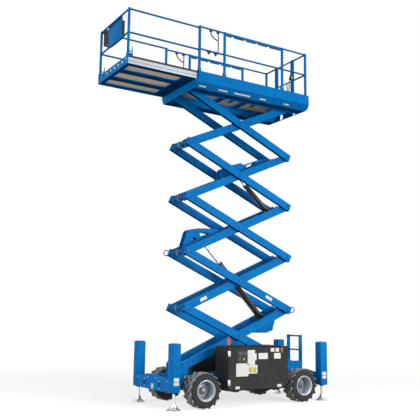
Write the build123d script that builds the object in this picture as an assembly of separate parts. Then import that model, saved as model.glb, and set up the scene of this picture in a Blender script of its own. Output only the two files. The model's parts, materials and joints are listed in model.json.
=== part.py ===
from build123d import *
import os
from math import asin, cos, degrees, radians, sin, sqrt

os.makedirs("parts", exist_ok=True)

# Rough-terrain scissor lift, raised to about half height with its roll-out deck out and its legs down.
# Millimetres. +X is the steered front, +Y the left side, +Z up, and z = 0 is the ground.
# Sizes are set about the point midway between the axles, and export() moves them to the part's origin.

# ------------------------------------------------------------------ running gear
WHEELBASE = 2290
TYRE_RADIUS = 330
TYRE_WIDTH = 305
TYRE_CENTRE_Y = 722.5
LUG_HEIGHT = 20
LUG_WIDTH = 34
LUG_LENGTH = 190
LUG_ANGLE = 42
LUGS_PER_SIDE = 15
RIM_RADIUS = 168
RIM_FLANGE_RADIUS = 188
RIM_WALL = 8
BEAD_FIT = 0.3
HUB_RADIUS = 72
SPINDLE_RADIUS = 30
RUNNING_FIT = 0.05
KINGPIN_Y = 530
KINGPIN_RADIUS = 16
STEER_ARM = 160
TIE_PIN_RADIUS = 9
AXLE_BEAM = 116

# ------------------------------------------------------------------ chassis
RAIL_OUTER_Y = 398
RAIL_INNER_Y = 300
RAIL_BOTTOM = 400
RAIL_TOP = 560
CROSS_MEMBER_DEPTH = 120
CROSS_MEMBER_WIDTH = 90
END_MEMBER_IN = 65
LADDER_IN = 55

# ------------------------------------------------------------------ outrigger legs
OUTRIGGER_X = 1730
OUTRIGGER_Y = 714
HOUSING_SIZE = 150
HOUSING_WALL = 8
HOUSING_BOTTOM = 400
HOUSING_TOP = 1170
HOUSING_CORNER = 22
LEG_RADIUS = 25
LEG_TOP = 850
PAD_RADIUS = 130
PAD_HEIGHT = 125
LUG_PLATE = 20
LUG_REACH = 50
LUG_Y = 290
TIE_DOWN_RADIUS = 18

# ------------------------------------------------------------------ scissor stack
LEVELS = 5
ARM_LENGTH = 2684
ARM_DEPTH = 150
ARM_WIDTH = 76
LEVEL_RISE = 1088
FRONT_PIN_X = 1280
BASE_PIN_Z = 735
OUTER_ARM_Y = 284
INNER_ARM_Y = 193
PIN_RADIUS = 30
TIP_TUBE_RADIUS = 50
PIN_HEAD_RADIUS = 38
PIN_HEAD = 12
ARM_END = 54
REST_ANGLE = degrees(asin(LEVEL_RISE / ARM_LENGTH))
REAR_PIN_X = FRONT_PIN_X - ARM_LENGTH * cos(radians(REST_ANGLE))
CENTRE_X = (FRONT_PIN_X + REAR_PIN_X) / 2
STOWED_ANGLE = 3.5
RAISED_ANGLE = 52
STOWED_PIN_X = FRONT_PIN_X - ARM_LENGTH * cos(radians(STOWED_ANGLE))
RAISED_PIN_X = FRONT_PIN_X - ARM_LENGTH * cos(radians(RAISED_ANGLE))

# Sliding tips: rollers on the end pins run in channels on the chassis and under the deck.
ROLLER_RADIUS = 36
ROLLER_WIDTH = 20
CHANNEL_GAP = 1
CHANNEL_PLATE = 12
CHANNEL_FROM = STOWED_PIN_X - ROLLER_RADIUS - 30
CHANNEL_TO = RAISED_PIN_X + ROLLER_RADIUS + 30
ROLLER_Y = OUTER_ARM_Y + ARM_WIDTH + 5
CHANNEL_WEB_Y = ROLLER_Y + ROLLER_WIDTH + CHANNEL_GAP

# ------------------------------------------------------------------ lift cylinders
# Pin places are (along the arm towards its +X end, square to the arm) from the arm's centre.
CYLINDERS = {
    # name: base frame, base pin, eye frame, eye pin, barrel radius, rod radius, barrel length, rod length
    "lower": (1, (-951, -239), 3, (843, 246), 57, 34, 1805, 1840),
    "upper": (3, (-1085, -27), 4, (-53, 208), 50, 30, 868, 945),
}
CLEVIS_GAP = 70
CLEVIS_PLATE = 16
CYLINDER_PIN_RADIUS = 25
EYE_RADIUS = 45
STUB_RADIUS = 36

# ------------------------------------------------------------------ platform
DECK_REAR = -1465
DECK_FRONT = 1310
FRONT_BEAM_X = 1361
DECK_HALF = 726
FLOOR_GAP = 7
FLOOR_SHEET = 8
PLATE = 6
TOE_HEIGHT = 165
TOE_LIP = 36
REAR_LIP = 98
REAR_RAIL_IN = 78
SKIRT_DEPTH = 167
FLANGE_INNER_Y = 455
DECK_CROSS_BEAMS = (-237, 330)
CROSS_BEAM_DEPTH = 45
RAIL_RADIUS = 18
POST_WIDTH = 40
GUARD_HEIGHT = 1105
MID_RAIL_HEIGHT = 625
GATE_LEFT_Y = 285
GATE_RIGHT_Y = -333
GATE_GAP = 6
GATE_HINGE_OUT = 12
EXTENSION_FRONT = 2830
EXTENSION_REAR = 1250
EXTENSION_SIDE_GAP = 20
EXTENSION_HALF = DECK_HALF - EXTENSION_SIDE_GAP
EXTENSION_RAIL_IN = 48
EXTENSION_RAIL_Y = EXTENSION_HALF - EXTENSION_RAIL_IN
RIB_DEPTH = 27
RIB_Y = 232
RIB_WIDTH = 180
EDGE_RIB_WIDTH = 140
REAR_RIB_WIDTH = 350

# ------------------------------------------------------------------ side covers
COVER_REAR = -735
COVER_FRONT = 665
RIGHT_COVER_FRONT = 190
COVER_INNER_Y = 410
COVER_OUTER_Y = 870
COVER_BOTTOM = 300
COVER_TOP = 1110
COVER_WALL = 8
DOOR_THICKNESS = 28
DOOR_GAP = 10
DOOR_CUT = 100
HINGE_OUT = 8
HINGE_RADIUS = 11
HINGE_PIN_RADIUS = 5
ENGINE_LENGTH = 720
ENGINE_REAR_GAP = 135
ENGINE_OUTER_GAP = 80
ENGINE_INNER_GAP = 30
ENGINE_HEIGHT = 592
BEACON_END_IN = 65
BEACON_SIDE_IN = 90
BEACON_BASE = 30
BEACON_HEIGHT = 160
BEACON_RADIUS = 32

FRONT_END = EXTENSION_FRONT
REAR_END = -(OUTRIGGER_X + HOUSING_SIZE / 2 + LUG_REACH)
ORIGIN_X = (FRONT_END + REAR_END) / 2


# ------------------------------------------------------------------ helpers
def block(x0, x1, y0, y1, z0, z1):
    """A square-edged block between two corners."""
    place = Pos((x0 + x1) / 2, (y0 + y1) / 2, (z0 + z1) / 2)
    return place * Box(x1 - x0, y1 - y0, z1 - z0)


def along_y(x, z, y0, y1, radius):
    """A round bar that lies along Y."""
    return Pos(x, (y0 + y1) / 2, z) * Rot(90, 0, 0) * Cylinder(radius, y1 - y0)


def along_x(y, z, x0, x1, radius):
    """A round bar that lies along X."""
    return Pos((x0 + x1) / 2, y, z) * Rot(0, 90, 0) * Cylinder(radius, x1 - x0)


def upright(x, y, z0, z1, radius):
    """A round bar that stands up."""
    return Pos(x, y, (z0 + z1) / 2) * Cylinder(radius, z1 - z0)


def side_plate(points, y0, y1):
    """A plate cut from an outline of (x, z) points, between two y planes."""
    outline = Plane.XZ * Polygon(*points, align=None)
    return Pos(0, y0, 0) * extrude(outline, amount=y1 - y0, dir=(0, 1, 0))


def end_plate(points, x0, x1):
    """A plate cut from an outline of (y, z) points, between two x planes."""
    outline = Plane.YZ * Polygon(*points, align=None)
    return Pos(x0, 0, 0) * extrude(outline, amount=x1 - x0, dir=(1, 0, 0))


def flip(shape):
    """The same shape on the machine's other side."""
    return mirror(shape, about=Plane.XZ)


def joined(pieces):
    """Pieces that are welded into one."""
    return pieces[0].fuse(*pieces[1:])


def both_sides(shape):
    """A shape and its mirror image, as one."""
    return shape + flip(shape)


def export(name, shape):
    """Moves a node to the part's origin and writes it."""
    export_step(Pos(-ORIGIN_X, 0, 0) * shape, f"parts/{name}.step")


def tip_z(level):
    """Height of the tip pins above the given level."""
    return BASE_PIN_Z + level * LEVEL_RISE


def inner_place(level):
    """Where an inner frame lies: its +X end is the lower front tip."""
    return Pos(CENTRE_X, 0, tip_z(level - 0.5)) * Rot(0, REST_ANGLE, 0)


def outer_place(level):
    """Where an outer frame lies: its +X end is the upper front tip."""
    return Pos(CENTRE_X, 0, tip_z(level - 0.5)) * Rot(0, -REST_ANGLE, 0)


# ------------------------------------------------------------------ wheels
def tyre():
    """A tyre about the Y axis at the origin, with two rows of chevron lugs."""
    half = TYRE_WIDTH / 2
    base = TYRE_RADIUS - LUG_HEIGHT
    bead = RIM_RADIUS + BEAD_FIT
    profile = Plane.XY * Polygon(
        (bead, -half + 34),
        (bead + 55, -half),
        (base - 30, -half),
        (base, -half + 38),
        (base, half - 38),
        (base - 30, half),
        (bead + 55, half),
        (bead, half - 34),
        align=None,
    )
    shape = revolve(profile, axis=Axis.Y)
    spread = LUG_LENGTH / 2 * sin(radians(LUG_ANGLE)) + LUG_WIDTH / 2 * cos(radians(LUG_ANGLE))
    lug_top = sqrt(TYRE_RADIUS**2 - spread**2)
    lug_foot = sqrt(base**2 - spread**2) - 3
    lugs = []
    for side in (-1, 1):
        bar = Pos(0, side * (half - 78), (lug_top + lug_foot) / 2)
        bar *= Rot(0, 0, -side * (90 - LUG_ANGLE)) * Box(LUG_LENGTH, LUG_WIDTH, lug_top - lug_foot)
        for count in range(LUGS_PER_SIDE):
            turn = (count + (side > 0) / 2) * 360 / LUGS_PER_SIDE
            lugs.append(Rot(0, turn, 0) * bar)
    sidewalls = Rot(90, 0, 0) * Cylinder(TYRE_RADIUS + 1, TYRE_WIDTH - 2)
    for lug in lugs:
        shape += lug & sidewalls
    return shape


def rim():
    """A deep-dish rim about the Y axis, its open face towards +Y."""
    half = TYRE_WIDTH / 2 - 16
    disc = 0
    inner = RIM_RADIUS - RIM_WALL
    profile = Plane.XY * Polygon(
        (SPINDLE_RADIUS + RUNNING_FIT, disc - 34),
        (HUB_RADIUS, disc - 34),
        (HUB_RADIUS, disc - 8),
        (inner - 30, disc - 30),
        (inner, disc - 50),
        (inner, -half + 8),
        (RIM_FLANGE_RADIUS - 4, -half),
        (RIM_FLANGE_RADIUS, -half - 6),
        (RIM_FLANGE_RADIUS, -half + 2),
        (RIM_RADIUS, -half + 14),
        (RIM_RADIUS, half - 14),
        (RIM_FLANGE_RADIUS, half - 2),
        (RIM_FLANGE_RADIUS, half + 6),
        (RIM_FLANGE_RADIUS - 4, half),
        (inner, half - 8),
        (inner, disc - 38),
        (inner - 34, disc - 18),
        (HUB_RADIUS, disc + 4),
        (HUB_RADIUS, disc + 20),
        (HUB_RADIUS - 20, disc + 44),
        (SPINDLE_RADIUS + RUNNING_FIT, disc + 44),
        align=None,
    )
    return revolve(profile, axis=Axis.Y)


# ------------------------------------------------------------------ scissor frames
def arm_bar(y0, round_end):
    """One arm of a frame in the frame's own axes. The end at round_end (+1 or -1) is round, 0 for none."""
    half = ARM_LENGTH / 2
    tips = {end: half if end == round_end else half + ARM_END for end in (-1, 1)}
    bar = block(-tips[-1], tips[1], y0, y0 + ARM_WIDTH, -ARM_DEPTH / 2, ARM_DEPTH / 2)
    if round_end:
        bar += along_y(round_end * half, 0, y0, y0 + ARM_WIDTH, ARM_DEPTH / 2)
    return bar


def pin_bores(frame):
    """Cuts the bores of both tips and the centre through a frame."""
    reach = OUTER_ARM_Y + ARM_WIDTH + 10
    for x in (-ARM_LENGTH / 2, 0, ARM_LENGTH / 2):
        frame -= along_y(x, 0, -reach, reach, PIN_RADIUS + RUNNING_FIT)
    return frame


def inner_frame(round_end):
    """Two inner arms joined by a round tube at each tip."""
    frame = both_sides(arm_bar(INNER_ARM_Y, round_end))
    for x in (-ARM_LENGTH / 2, ARM_LENGTH / 2):
        frame += along_y(x, 0, -INNER_ARM_Y, INNER_ARM_Y, TIP_TUBE_RADIUS)
    return pin_bores(frame)


def outer_frame(round_end):
    """Two outer arms, carried by the pins through their tips."""
    return pin_bores(both_sides(arm_bar(OUTER_ARM_Y, round_end)))


def clevis(outline, windows, pin, stubs):
    """Two cylinder brackets on an inner frame, each on stub tubes from its own arm."""
    y0 = CLEVIS_GAP
    y1 = CLEVIS_GAP + CLEVIS_PLATE
    plate = side_plate(outline, y0, y1)
    for window in windows:
        plate -= side_plate(window, y0 - 1, y1 + 1)
    plate += along_y(pin[0], pin[1], y0, y1 + 12, EYE_RADIUS)
    for x, z in stubs:
        plate += along_y(x, z, y0, INNER_ARM_Y + 5, STUB_RADIUS)
    return both_sides(plate)


def frame_pin(x, z, reach):
    """A full-width pin with a head at each end."""
    pin = along_y(x, z, -reach, reach, PIN_RADIUS)
    return pin + both_sides(along_y(x, z, reach, reach + PIN_HEAD, PIN_HEAD_RADIUS))


def roller(x, z):
    """A roller on the end of a tip pin."""
    wheel = along_y(x, z, ROLLER_Y, ROLLER_Y + ROLLER_WIDTH, ROLLER_RADIUS)
    return wheel - along_y(x, z, ROLLER_Y - 1, ROLLER_Y + ROLLER_WIDTH + 1, PIN_RADIUS + RUNNING_FIT)


def channel(z):
    """A channel that opens inwards and guides a roller above and below."""
    high = ROLLER_RADIUS + CHANNEL_GAP
    web_y1 = CHANNEL_WEB_Y + CHANNEL_PLATE
    shape = block(CHANNEL_FROM, CHANNEL_TO, CHANNEL_WEB_Y, web_y1, z - high, z + high)
    for low in (z - high - CHANNEL_PLATE, z + high):
        shape += block(CHANNEL_FROM, CHANNEL_TO, ROLLER_Y, web_y1, low, low + CHANNEL_PLATE)
    return shape


outer_reach = OUTER_ARM_Y + ARM_WIDTH
GUSSET_OUTLINE = [
    (1290, 60), (1210, 150), (1130, 240), (1060, 322), (1020, 340),
    (930, 336), (760, 292), (512, 194), (407, 146), (230, 40),
]
GUSSET_WINDOWS = [
    [(1060, 112), (955, 180), (900, 112)],
    [(790, 112), (810, 190), (700, 180), (560, 112)],
]
PEAK_OUTLINE = [
    (320, 30), (286, 150), (216, 255), (-46, 262), (-290, 240),
    (-360, 178), (-755, 168), (-1000, 125), (-1080, 40),
]
PEAK_WINDOWS = [[(-390, 102), (-420, 146), (-700, 140), (-640, 102)]]
HANGER_OUTLINE = [
    (-330, 20), (-260, -40), (-800, -284), (-960, -296),
    (-1012, -240), (-1150, -90), (-1230, -40), (-1180, 20),
]

for level in range(1, LEVELS + 1):
    inner = inner_frame(-1 if level == LEVELS else 0)
    for base_level, base, eye_level, eye, *_ in CYLINDERS.values():
        if base_level == level:
            span = INNER_ARM_Y + 5
            if base[1] < -ARM_DEPTH / 2:
                inner += clevis(HANGER_OUTLINE, [], base, [(-1050, 0), (-500, 0)])
            else:
                inner += both_sides(along_y(base[0], base[1], CLEVIS_GAP, span, EYE_RADIUS))
            inner += along_y(base[0], base[1], -CLEVIS_GAP, CLEVIS_GAP, CYLINDER_PIN_RADIUS)
        if eye_level == level:
            if eye[0] > 0:
                inner += clevis(GUSSET_OUTLINE, GUSSET_WINDOWS, eye, [(1100, 36), (420, 36)])
            else:
                inner += clevis(PEAK_OUTLINE, PEAK_WINDOWS, eye, [(-300, 36), (160, 36)])
    export(f"inner_frame_{level}", inner_place(level) * inner)
    export(f"outer_frame_{level}", outer_place(level) * outer_frame(1 if level == LEVELS else 0))

    low_reach = ROLLER_Y + ROLLER_WIDTH if level == 1 else outer_reach
    low_pin = along_y(REAR_PIN_X, tip_z(level - 1), -low_reach, low_reach, PIN_RADIUS)
    if level > 1:
        low_pin = frame_pin(REAR_PIN_X, tip_z(level - 1), low_reach)
    high_pin = frame_pin(FRONT_PIN_X, tip_z(level), outer_reach)
    if level == LEVELS:
        high_pin = along_y(FRONT_PIN_X, tip_z(level), -(CHANNEL_WEB_Y + 20), CHANNEL_WEB_Y + 20, PIN_RADIUS)
    centre_z = tip_z(level - 0.5)
    stub = along_y(CENTRE_X, centre_z, INNER_ARM_Y - 8, outer_reach, PIN_RADIUS)
    stub += along_y(CENTRE_X, centre_z, outer_reach, outer_reach + PIN_HEAD, PIN_HEAD_RADIUS)
    export(f"pivot_pins_{level}", low_pin + high_pin + both_sides(stub))

top_reach = ROLLER_Y + ROLLER_WIDTH
export("pivot_pin_top", along_y(REAR_PIN_X, tip_z(LEVELS), -top_reach, top_reach, PIN_RADIUS))
export("rollers_lower", both_sides(roller(REAR_PIN_X, tip_z(0))))
export("rollers_upper", both_sides(roller(REAR_PIN_X, tip_z(LEVELS))))


# ------------------------------------------------------------------ lift cylinders
def on_inner(level, place):
    """The (x, z) at rest of a place on an inner frame."""
    spot = inner_place(level) * Pos(place[0], 0, place[1])
    return spot.position.X, spot.position.Z


for name, row in CYLINDERS.items():
    base_level, base, eye_level, eye, barrel_radius, rod_radius, gland, rod_length = row
    x0, z0 = on_inner(base_level, base)
    x1, z1 = on_inner(eye_level, eye)
    reach = sqrt((x1 - x0) ** 2 + (z1 - z0) ** 2)
    lie = Plane(origin=(x0, 0, z0), x_dir=(0, 1, 0), z_dir=(x1 - x0, 0, z1 - z0))
    bore = barrel_radius - 11

    barrel = Pos(0, 0, (gland + 28) / 2) * Cylinder(barrel_radius, gland - 28)
    barrel += Rot(0, 90, 0) * Cylinder(EYE_RADIUS, 2 * CLEVIS_GAP - 16)
    barrel += Pos(0, 0, gland - 18) * Cylinder(barrel_radius + 6, 36)
    barrel -= Pos(0, 0, (gland - 40 + 90) / 2) * Cylinder(bore, gland - 40 - 90)
    barrel -= Pos(0, 0, gland) * Cylinder(rod_radius + 0.5, 120)
    barrel -= Rot(0, 90, 0) * Cylinder(CYLINDER_PIN_RADIUS + RUNNING_FIT, 3 * CLEVIS_GAP)
    export(f"lift_barrel_{name}", lie * barrel)

    rod = Pos(0, 0, reach - rod_length / 2) * Cylinder(rod_radius, rod_length)
    rod += Pos(0, 0, reach - rod_length + 25) * Cylinder(bore - 0.5, 50)
    rod += Pos(0, 0, reach) * Rot(0, 90, 0) * Cylinder(EYE_RADIUS, 76)
    rod += Pos(0, 0, reach) * Rot(0, 90, 0) * Cylinder(CYLINDER_PIN_RADIUS, 2 * CLEVIS_GAP - 6)
    export(f"lift_rod_{name}", lie * rod)


# ------------------------------------------------------------------ chassis
rail_end = OUTRIGGER_X - HOUSING_SIZE / 2
half_track = WHEELBASE / 2
chassis = both_sides(block(-rail_end, rail_end, RAIL_INNER_Y, RAIL_OUTER_Y, RAIL_BOTTOM, RAIL_TOP))
end_member = rail_end - END_MEMBER_IN
CROSS_MEMBERS = (-end_member, -780, 0, 780, FRONT_PIN_X, end_member)
for x in CROSS_MEMBERS:
    half = CROSS_MEMBER_WIDTH / 2
    top = RAIL_BOTTOM + CROSS_MEMBER_DEPTH
    chassis += block(x - half, x + half, -RAIL_INNER_Y, RAIL_INNER_Y, RAIL_BOTTOM, top)
chassis += both_sides(channel(BASE_PIN_Z))
channel_foot = BASE_PIN_Z - ROLLER_RADIUS - CHANNEL_GAP
web_y1 = CHANNEL_WEB_Y + CHANNEL_PLATE
chassis += both_sides(block(CHANNEL_FROM, CHANNEL_TO, CHANNEL_WEB_Y, web_y1, RAIL_TOP - 20, channel_foot))
pivot_y0 = INNER_ARM_Y + ARM_WIDTH + 7
pivot_y1 = RAIL_INNER_Y + 6
pivot_half = 70
pivot = block(
    FRONT_PIN_X - pivot_half, FRONT_PIN_X + pivot_half, pivot_y0, pivot_y1, RAIL_BOTTOM + 60, BASE_PIN_Z
)
pivot += along_y(FRONT_PIN_X, BASE_PIN_Z, pivot_y0, pivot_y1, pivot_half)
chassis += both_sides(pivot)
chassis += along_y(FRONT_PIN_X, BASE_PIN_Z, -pivot_y0, pivot_y0, PIN_RADIUS)
export("chassis_frame", chassis)


def outrigger_beam(end):
    """The cross beam of one end, with a leg housing at each tip and a tie-down lug beside each rail."""
    x0 = end * rail_end
    x1 = end * (OUTRIGGER_X + HOUSING_SIZE / 2)
    low, high = sorted((x0, x1 - end * 20))
    inner_y = OUTRIGGER_Y - HOUSING_SIZE / 2
    outer_y = OUTRIGGER_Y + HOUSING_SIZE / 2
    spine = both_sides(
        end_plate([(0, 330), (560, 342), (inner_y, 402), (inner_y, 540), (400, 520), (0, 520)], low, high)
    )
    face_low, face_high = sorted((x1 - end * 21, x1 + end * 2))
    spine += both_sides(
        end_plate(
            [
                (0, 306), (430, 308), (580, 324), (outer_y, 400),
                (outer_y, 560), (380, 552), (200, 588), (0, 588),
            ],
            face_low,
            face_high,
        )
    )
    centre_x = end * OUTRIGGER_X
    tube = RectangleRounded(HOUSING_SIZE, HOUSING_SIZE, HOUSING_CORNER)
    housing = extrude(tube, amount=HOUSING_TOP - HOUSING_BOTTOM)
    housing = Pos(centre_x, OUTRIGGER_Y, HOUSING_BOTTOM) * housing
    housing = chamfer(housing.edges().group_by(Axis.Z)[-1], 14)
    room = HOUSING_SIZE / 2 - HOUSING_WALL
    housing -= block(
        centre_x - room, centre_x + room, OUTRIGGER_Y - room, OUTRIGGER_Y + room,
        HOUSING_BOTTOM + 20, HOUSING_TOP - 14,
    )
    housing -= upright(centre_x, OUTRIGGER_Y, HOUSING_BOTTOM - 1, HOUSING_BOTTOM + 21, LEG_RADIUS + 0.5)
    beam = spine + both_sides(housing)
    lug_x0, lug_x1 = sorted((x1 - end * 25, x1 + end * LUG_REACH))
    lug = block(lug_x0, lug_x1, LUG_Y, LUG_Y + LUG_PLATE, 380, 460)
    lug -= along_y(x1 + end * (LUG_REACH - 26), 420, LUG_Y - 1, LUG_Y + LUG_PLATE + 1, TIE_DOWN_RADIUS)
    return beam + both_sides(lug)


for name, end in (("front", 1), ("rear", -1)):
    export(f"outrigger_beam_{name}", outrigger_beam(end))
    for side_name, side in (("left", 1), ("right", -1)):
        foot = Plane.XZ * Polygon(
            (0, 0), (PAD_RADIUS, 0), (PAD_RADIUS, 14), (98, 30),
            (56, 66), (34, PAD_HEIGHT), (0, PAD_HEIGHT), align=None,
        )
        leg = revolve(foot, axis=Axis.Z) + upright(0, 0, PAD_HEIGHT - 10, LEG_TOP, LEG_RADIUS)
        export(f"outrigger_leg_{name}_{side_name}", Pos(end * OUTRIGGER_X, side * OUTRIGGER_Y, 0) * leg)

# ------------------------------------------------------------------ axles and steering
axle_x = half_track
axle_half = AXLE_BEAM / 2
axle_low = TYRE_RADIUS - axle_half
axle_high = TYRE_RADIUS + axle_half
yoke_y0 = KINGPIN_Y - 56
yoke_end = 34
knuckle_half = 52
yoke_plate = 20
yoke_low = TYRE_RADIUS - knuckle_half - 1
yoke_high = TYRE_RADIUS + knuckle_half + 1


def axle_mount(x):
    """The two blocks that carry the chassis rails on an axle."""
    mount = block(x - axle_half, x + axle_half, RAIL_INNER_Y, RAIL_OUTER_Y, axle_high, RAIL_BOTTOM)
    return both_sides(mount)


front = block(axle_x - axle_half, axle_x + axle_half, -yoke_y0, yoke_y0, axle_low, axle_high)
front += axle_mount(axle_x)
yoke = block(axle_x - yoke_end, axle_x + yoke_end, yoke_y0 - 30, yoke_y0, yoke_low - 4, yoke_high + 4)
for z in (yoke_low - yoke_plate, yoke_high):
    yoke += block(axle_x - yoke_end, axle_x + yoke_end, yoke_y0 - 30, KINGPIN_Y, z, z + yoke_plate)
    yoke += upright(axle_x, KINGPIN_Y, z, z + yoke_plate, yoke_end)
yoke -= upright(axle_x, KINGPIN_Y, 0, 2 * TYRE_RADIUS, KINGPIN_RADIUS + RUNNING_FIT)
front += both_sides(yoke)
export("front_axle", front)

hub_face = TYRE_CENTRE_Y - 34
spindle_end = TYRE_CENTRE_Y + 30
arm_z0 = TYRE_RADIUS - 20
arm_z1 = TYRE_RADIUS
tie_x = axle_x - STEER_ARM


def knuckle():
    """The left steering knuckle: kingpin, spindle and steering arm in one forging."""
    shape = upright(axle_x, KINGPIN_Y, TYRE_RADIUS - knuckle_half, TYRE_RADIUS + knuckle_half, 36)
    pin_low = TYRE_RADIUS - knuckle_half - yoke_plate - 6
    pin_high = TYRE_RADIUS + knuckle_half + yoke_plate + 6
    shape += upright(axle_x, KINGPIN_Y, pin_low, pin_high, KINGPIN_RADIUS)
    shape += along_y(axle_x, TYRE_RADIUS, KINGPIN_Y, spindle_end, SPINDLE_RADIUS)
    shape += along_y(axle_x, TYRE_RADIUS, hub_face - 44, hub_face - 2, 60)
    shape += along_y(axle_x, TYRE_RADIUS, KINGPIN_Y, hub_face - 30, 42)
    shape += block(tie_x, axle_x, KINGPIN_Y - 15, KINGPIN_Y + 15, arm_z0, arm_z1)
    shape += upright(tie_x, KINGPIN_Y, arm_z0, arm_z1, 20)
    shape += upright(tie_x, KINGPIN_Y, arm_z0 - 32, arm_z0 + 5, TIE_PIN_RADIUS)
    return shape


export("knuckle_left", knuckle())
export("knuckle_right", flip(knuckle()))
rod_z0 = arm_z0 - 27
rod_z1 = arm_z0 - 1
tie = along_y(tie_x, (rod_z0 + rod_z1) / 2, -KINGPIN_Y, KINGPIN_Y, 11)
for y in (-KINGPIN_Y, KINGPIN_Y):
    tie += upright(tie_x, y, rod_z0, rod_z1, 20)
for y in (-KINGPIN_Y, KINGPIN_Y):
    tie -= upright(tie_x, y, rod_z0 - 1, rod_z1 + 1, TIE_PIN_RADIUS + RUNNING_FIT)
export("tie_rod", tie)

rear = block(-axle_x - axle_half, -axle_x + axle_half, -KINGPIN_Y, KINGPIN_Y, axle_low, axle_high)
rear += axle_mount(-axle_x)
hub = along_y(-axle_x, TYRE_RADIUS, KINGPIN_Y - 5, hub_face - 2, 78)
hub += along_y(-axle_x, TYRE_RADIUS, KINGPIN_Y, spindle_end, SPINDLE_RADIUS)
export("rear_axle", rear + both_sides(hub))

wheel_tyre = tyre()
wheel_rim = rim()
for name, x in (("front", half_track), ("rear", -half_track)):
    for side_name, side in (("left", 1), ("right", -1)):
        place = Pos(x, side * TYRE_CENTRE_Y, TYRE_RADIUS)
        turned = Rot(0, 0, 0 if side > 0 else 180)
        export(f"tyre_{name}_{side_name}", place * turned * wheel_tyre)
        export(f"rim_{name}_{side_name}", place * turned * wheel_rim)

# ------------------------------------------------------------------ side covers and doors
door_inner_y = COVER_OUTER_Y - DOOR_THICKNESS
shell_outer_y = door_inner_y - DOOR_GAP
hinge_y = COVER_OUTER_Y - 12
HINGES = (430, 960)


def cover(front):
    """The left cover, up to the given front: a tray, roof, back and ends, open on its outer face."""
    shell = block(COVER_REAR, front, COVER_INNER_Y, shell_outer_y, COVER_BOTTOM, COVER_TOP)
    shell -= block(
        COVER_REAR + COVER_WALL, front - COVER_WALL, COVER_INNER_Y + COVER_WALL, shell_outer_y + 1,
        COVER_BOTTOM + COVER_WALL, COVER_TOP - COVER_WALL,
    )
    for x in (COVER_REAR + 120, front - 160):
        shell += block(x, x + 60, RAIL_OUTER_Y, COVER_INNER_Y + 1, RAIL_BOTTOM + 20, RAIL_TOP - 20)
    hinge_x = front + HINGE_OUT
    for z in HINGES:
        shell += block(front - 1, front + 6, shell_outer_y - 60, shell_outer_y, z, z + 40)
        shell += block(front + 0.5, front + 6, shell_outer_y - 10, hinge_y, z, z + 40)
        shell += upright(hinge_x, hinge_y, z, z + 40, HINGE_RADIUS - 3)
        shell += upright(hinge_x, hinge_y, z - 40, z + 80, HINGE_PIN_RADIUS)
    return shell


def door(front):
    """The left outer door, with its hinge knuckles on its front edge and its lower rear corner cut."""
    panel = block(COVER_REAR, front, door_inner_y, COVER_OUTER_Y, COVER_BOTTOM, COVER_TOP)
    outer_edges = panel.edges().filter_by(Axis.X).group_by(Axis.Y)[-1]
    panel = chamfer(outer_edges, 16)
    corner = [
        (COVER_REAR - 1, COVER_BOTTOM - 1), (COVER_REAR + DOOR_CUT, COVER_BOTTOM - 1),
        (COVER_REAR - 1, COVER_BOTTOM + 1.3 * DOOR_CUT),
    ]
    panel -= side_plate(corner, door_inner_y - 1, COVER_OUTER_Y + 1)
    hinge_x = front + HINGE_OUT
    for z in HINGES:
        for low in (z - 38, z + 41):
            panel += upright(hinge_x, hinge_y, low, low + 37, HINGE_RADIUS)
            panel += block(front - 2, hinge_x, hinge_y - 8, hinge_y + 8, low, low + 37)
            panel -= upright(hinge_x, hinge_y, low - 1, low + 38, HINGE_PIN_RADIUS + 0.3)
    return panel


export("side_cover_left", cover(COVER_FRONT))
export("side_cover_right", flip(cover(RIGHT_COVER_FRONT)))
export("side_door_left", door(COVER_FRONT))
export("side_door_right", flip(door(RIGHT_COVER_FRONT)))
engine_x0 = COVER_REAR + ENGINE_REAR_GAP
engine_y0 = ENGINE_OUTER_GAP - COVER_OUTER_Y
engine_y1 = -COVER_INNER_Y - ENGINE_INNER_GAP
engine_z0 = COVER_BOTTOM + COVER_WALL
engine_x1 = engine_x0 + ENGINE_LENGTH
engine_z1 = engine_z0 + ENGINE_HEIGHT
engine = block(engine_x0, engine_x1, engine_y0, engine_y1, engine_z0, engine_z1)
export("engine_block", engine)
beacon_x = COVER_FRONT - BEACON_END_IN
beacon_y = COVER_OUTER_Y - BEACON_SIDE_IN
light = upright(beacon_x, beacon_y, COVER_TOP, COVER_TOP + BEACON_BASE, BEACON_RADIUS + 6)
light += upright(beacon_x, beacon_y, COVER_TOP + BEACON_BASE, COVER_TOP + BEACON_HEIGHT, BEACON_RADIUS)
export("beacon", light)

# ------------------------------------------------------------------ ladder
LADDER_HALF = 200
LADDER_TOP = 1300
RUNG_HEIGHTS = (695, 990, 1280)
RUNG_RADIUS = 14
ladder_x = LADDER_IN - rail_end
ladder_floor = RAIL_BOTTOM + CROSS_MEMBER_DEPTH
stile = block(ladder_x - 40, ladder_x + 40, LADDER_HALF - 10, LADDER_HALF + 10, ladder_floor, LADDER_TOP)
ladder = both_sides(stile)
for z in RUNG_HEIGHTS:
    ladder += along_y(ladder_x, z, -LADDER_HALF, LADDER_HALF, RUNG_RADIUS)
export("ladder", ladder)

# ------------------------------------------------------------------ platform
tip_top = tip_z(LEVELS) + ARM_DEPTH / 2
floor_under = tip_top + FLOOR_GAP
floor_top = floor_under + FLOOR_SHEET
toe_top = floor_top + TOE_HEIGHT
skirt_low = floor_under - SKIRT_DEPTH
beam_y0 = CHANNEL_WEB_Y
beam_y1 = CHANNEL_WEB_Y + CHANNEL_PLATE + 12


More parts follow.
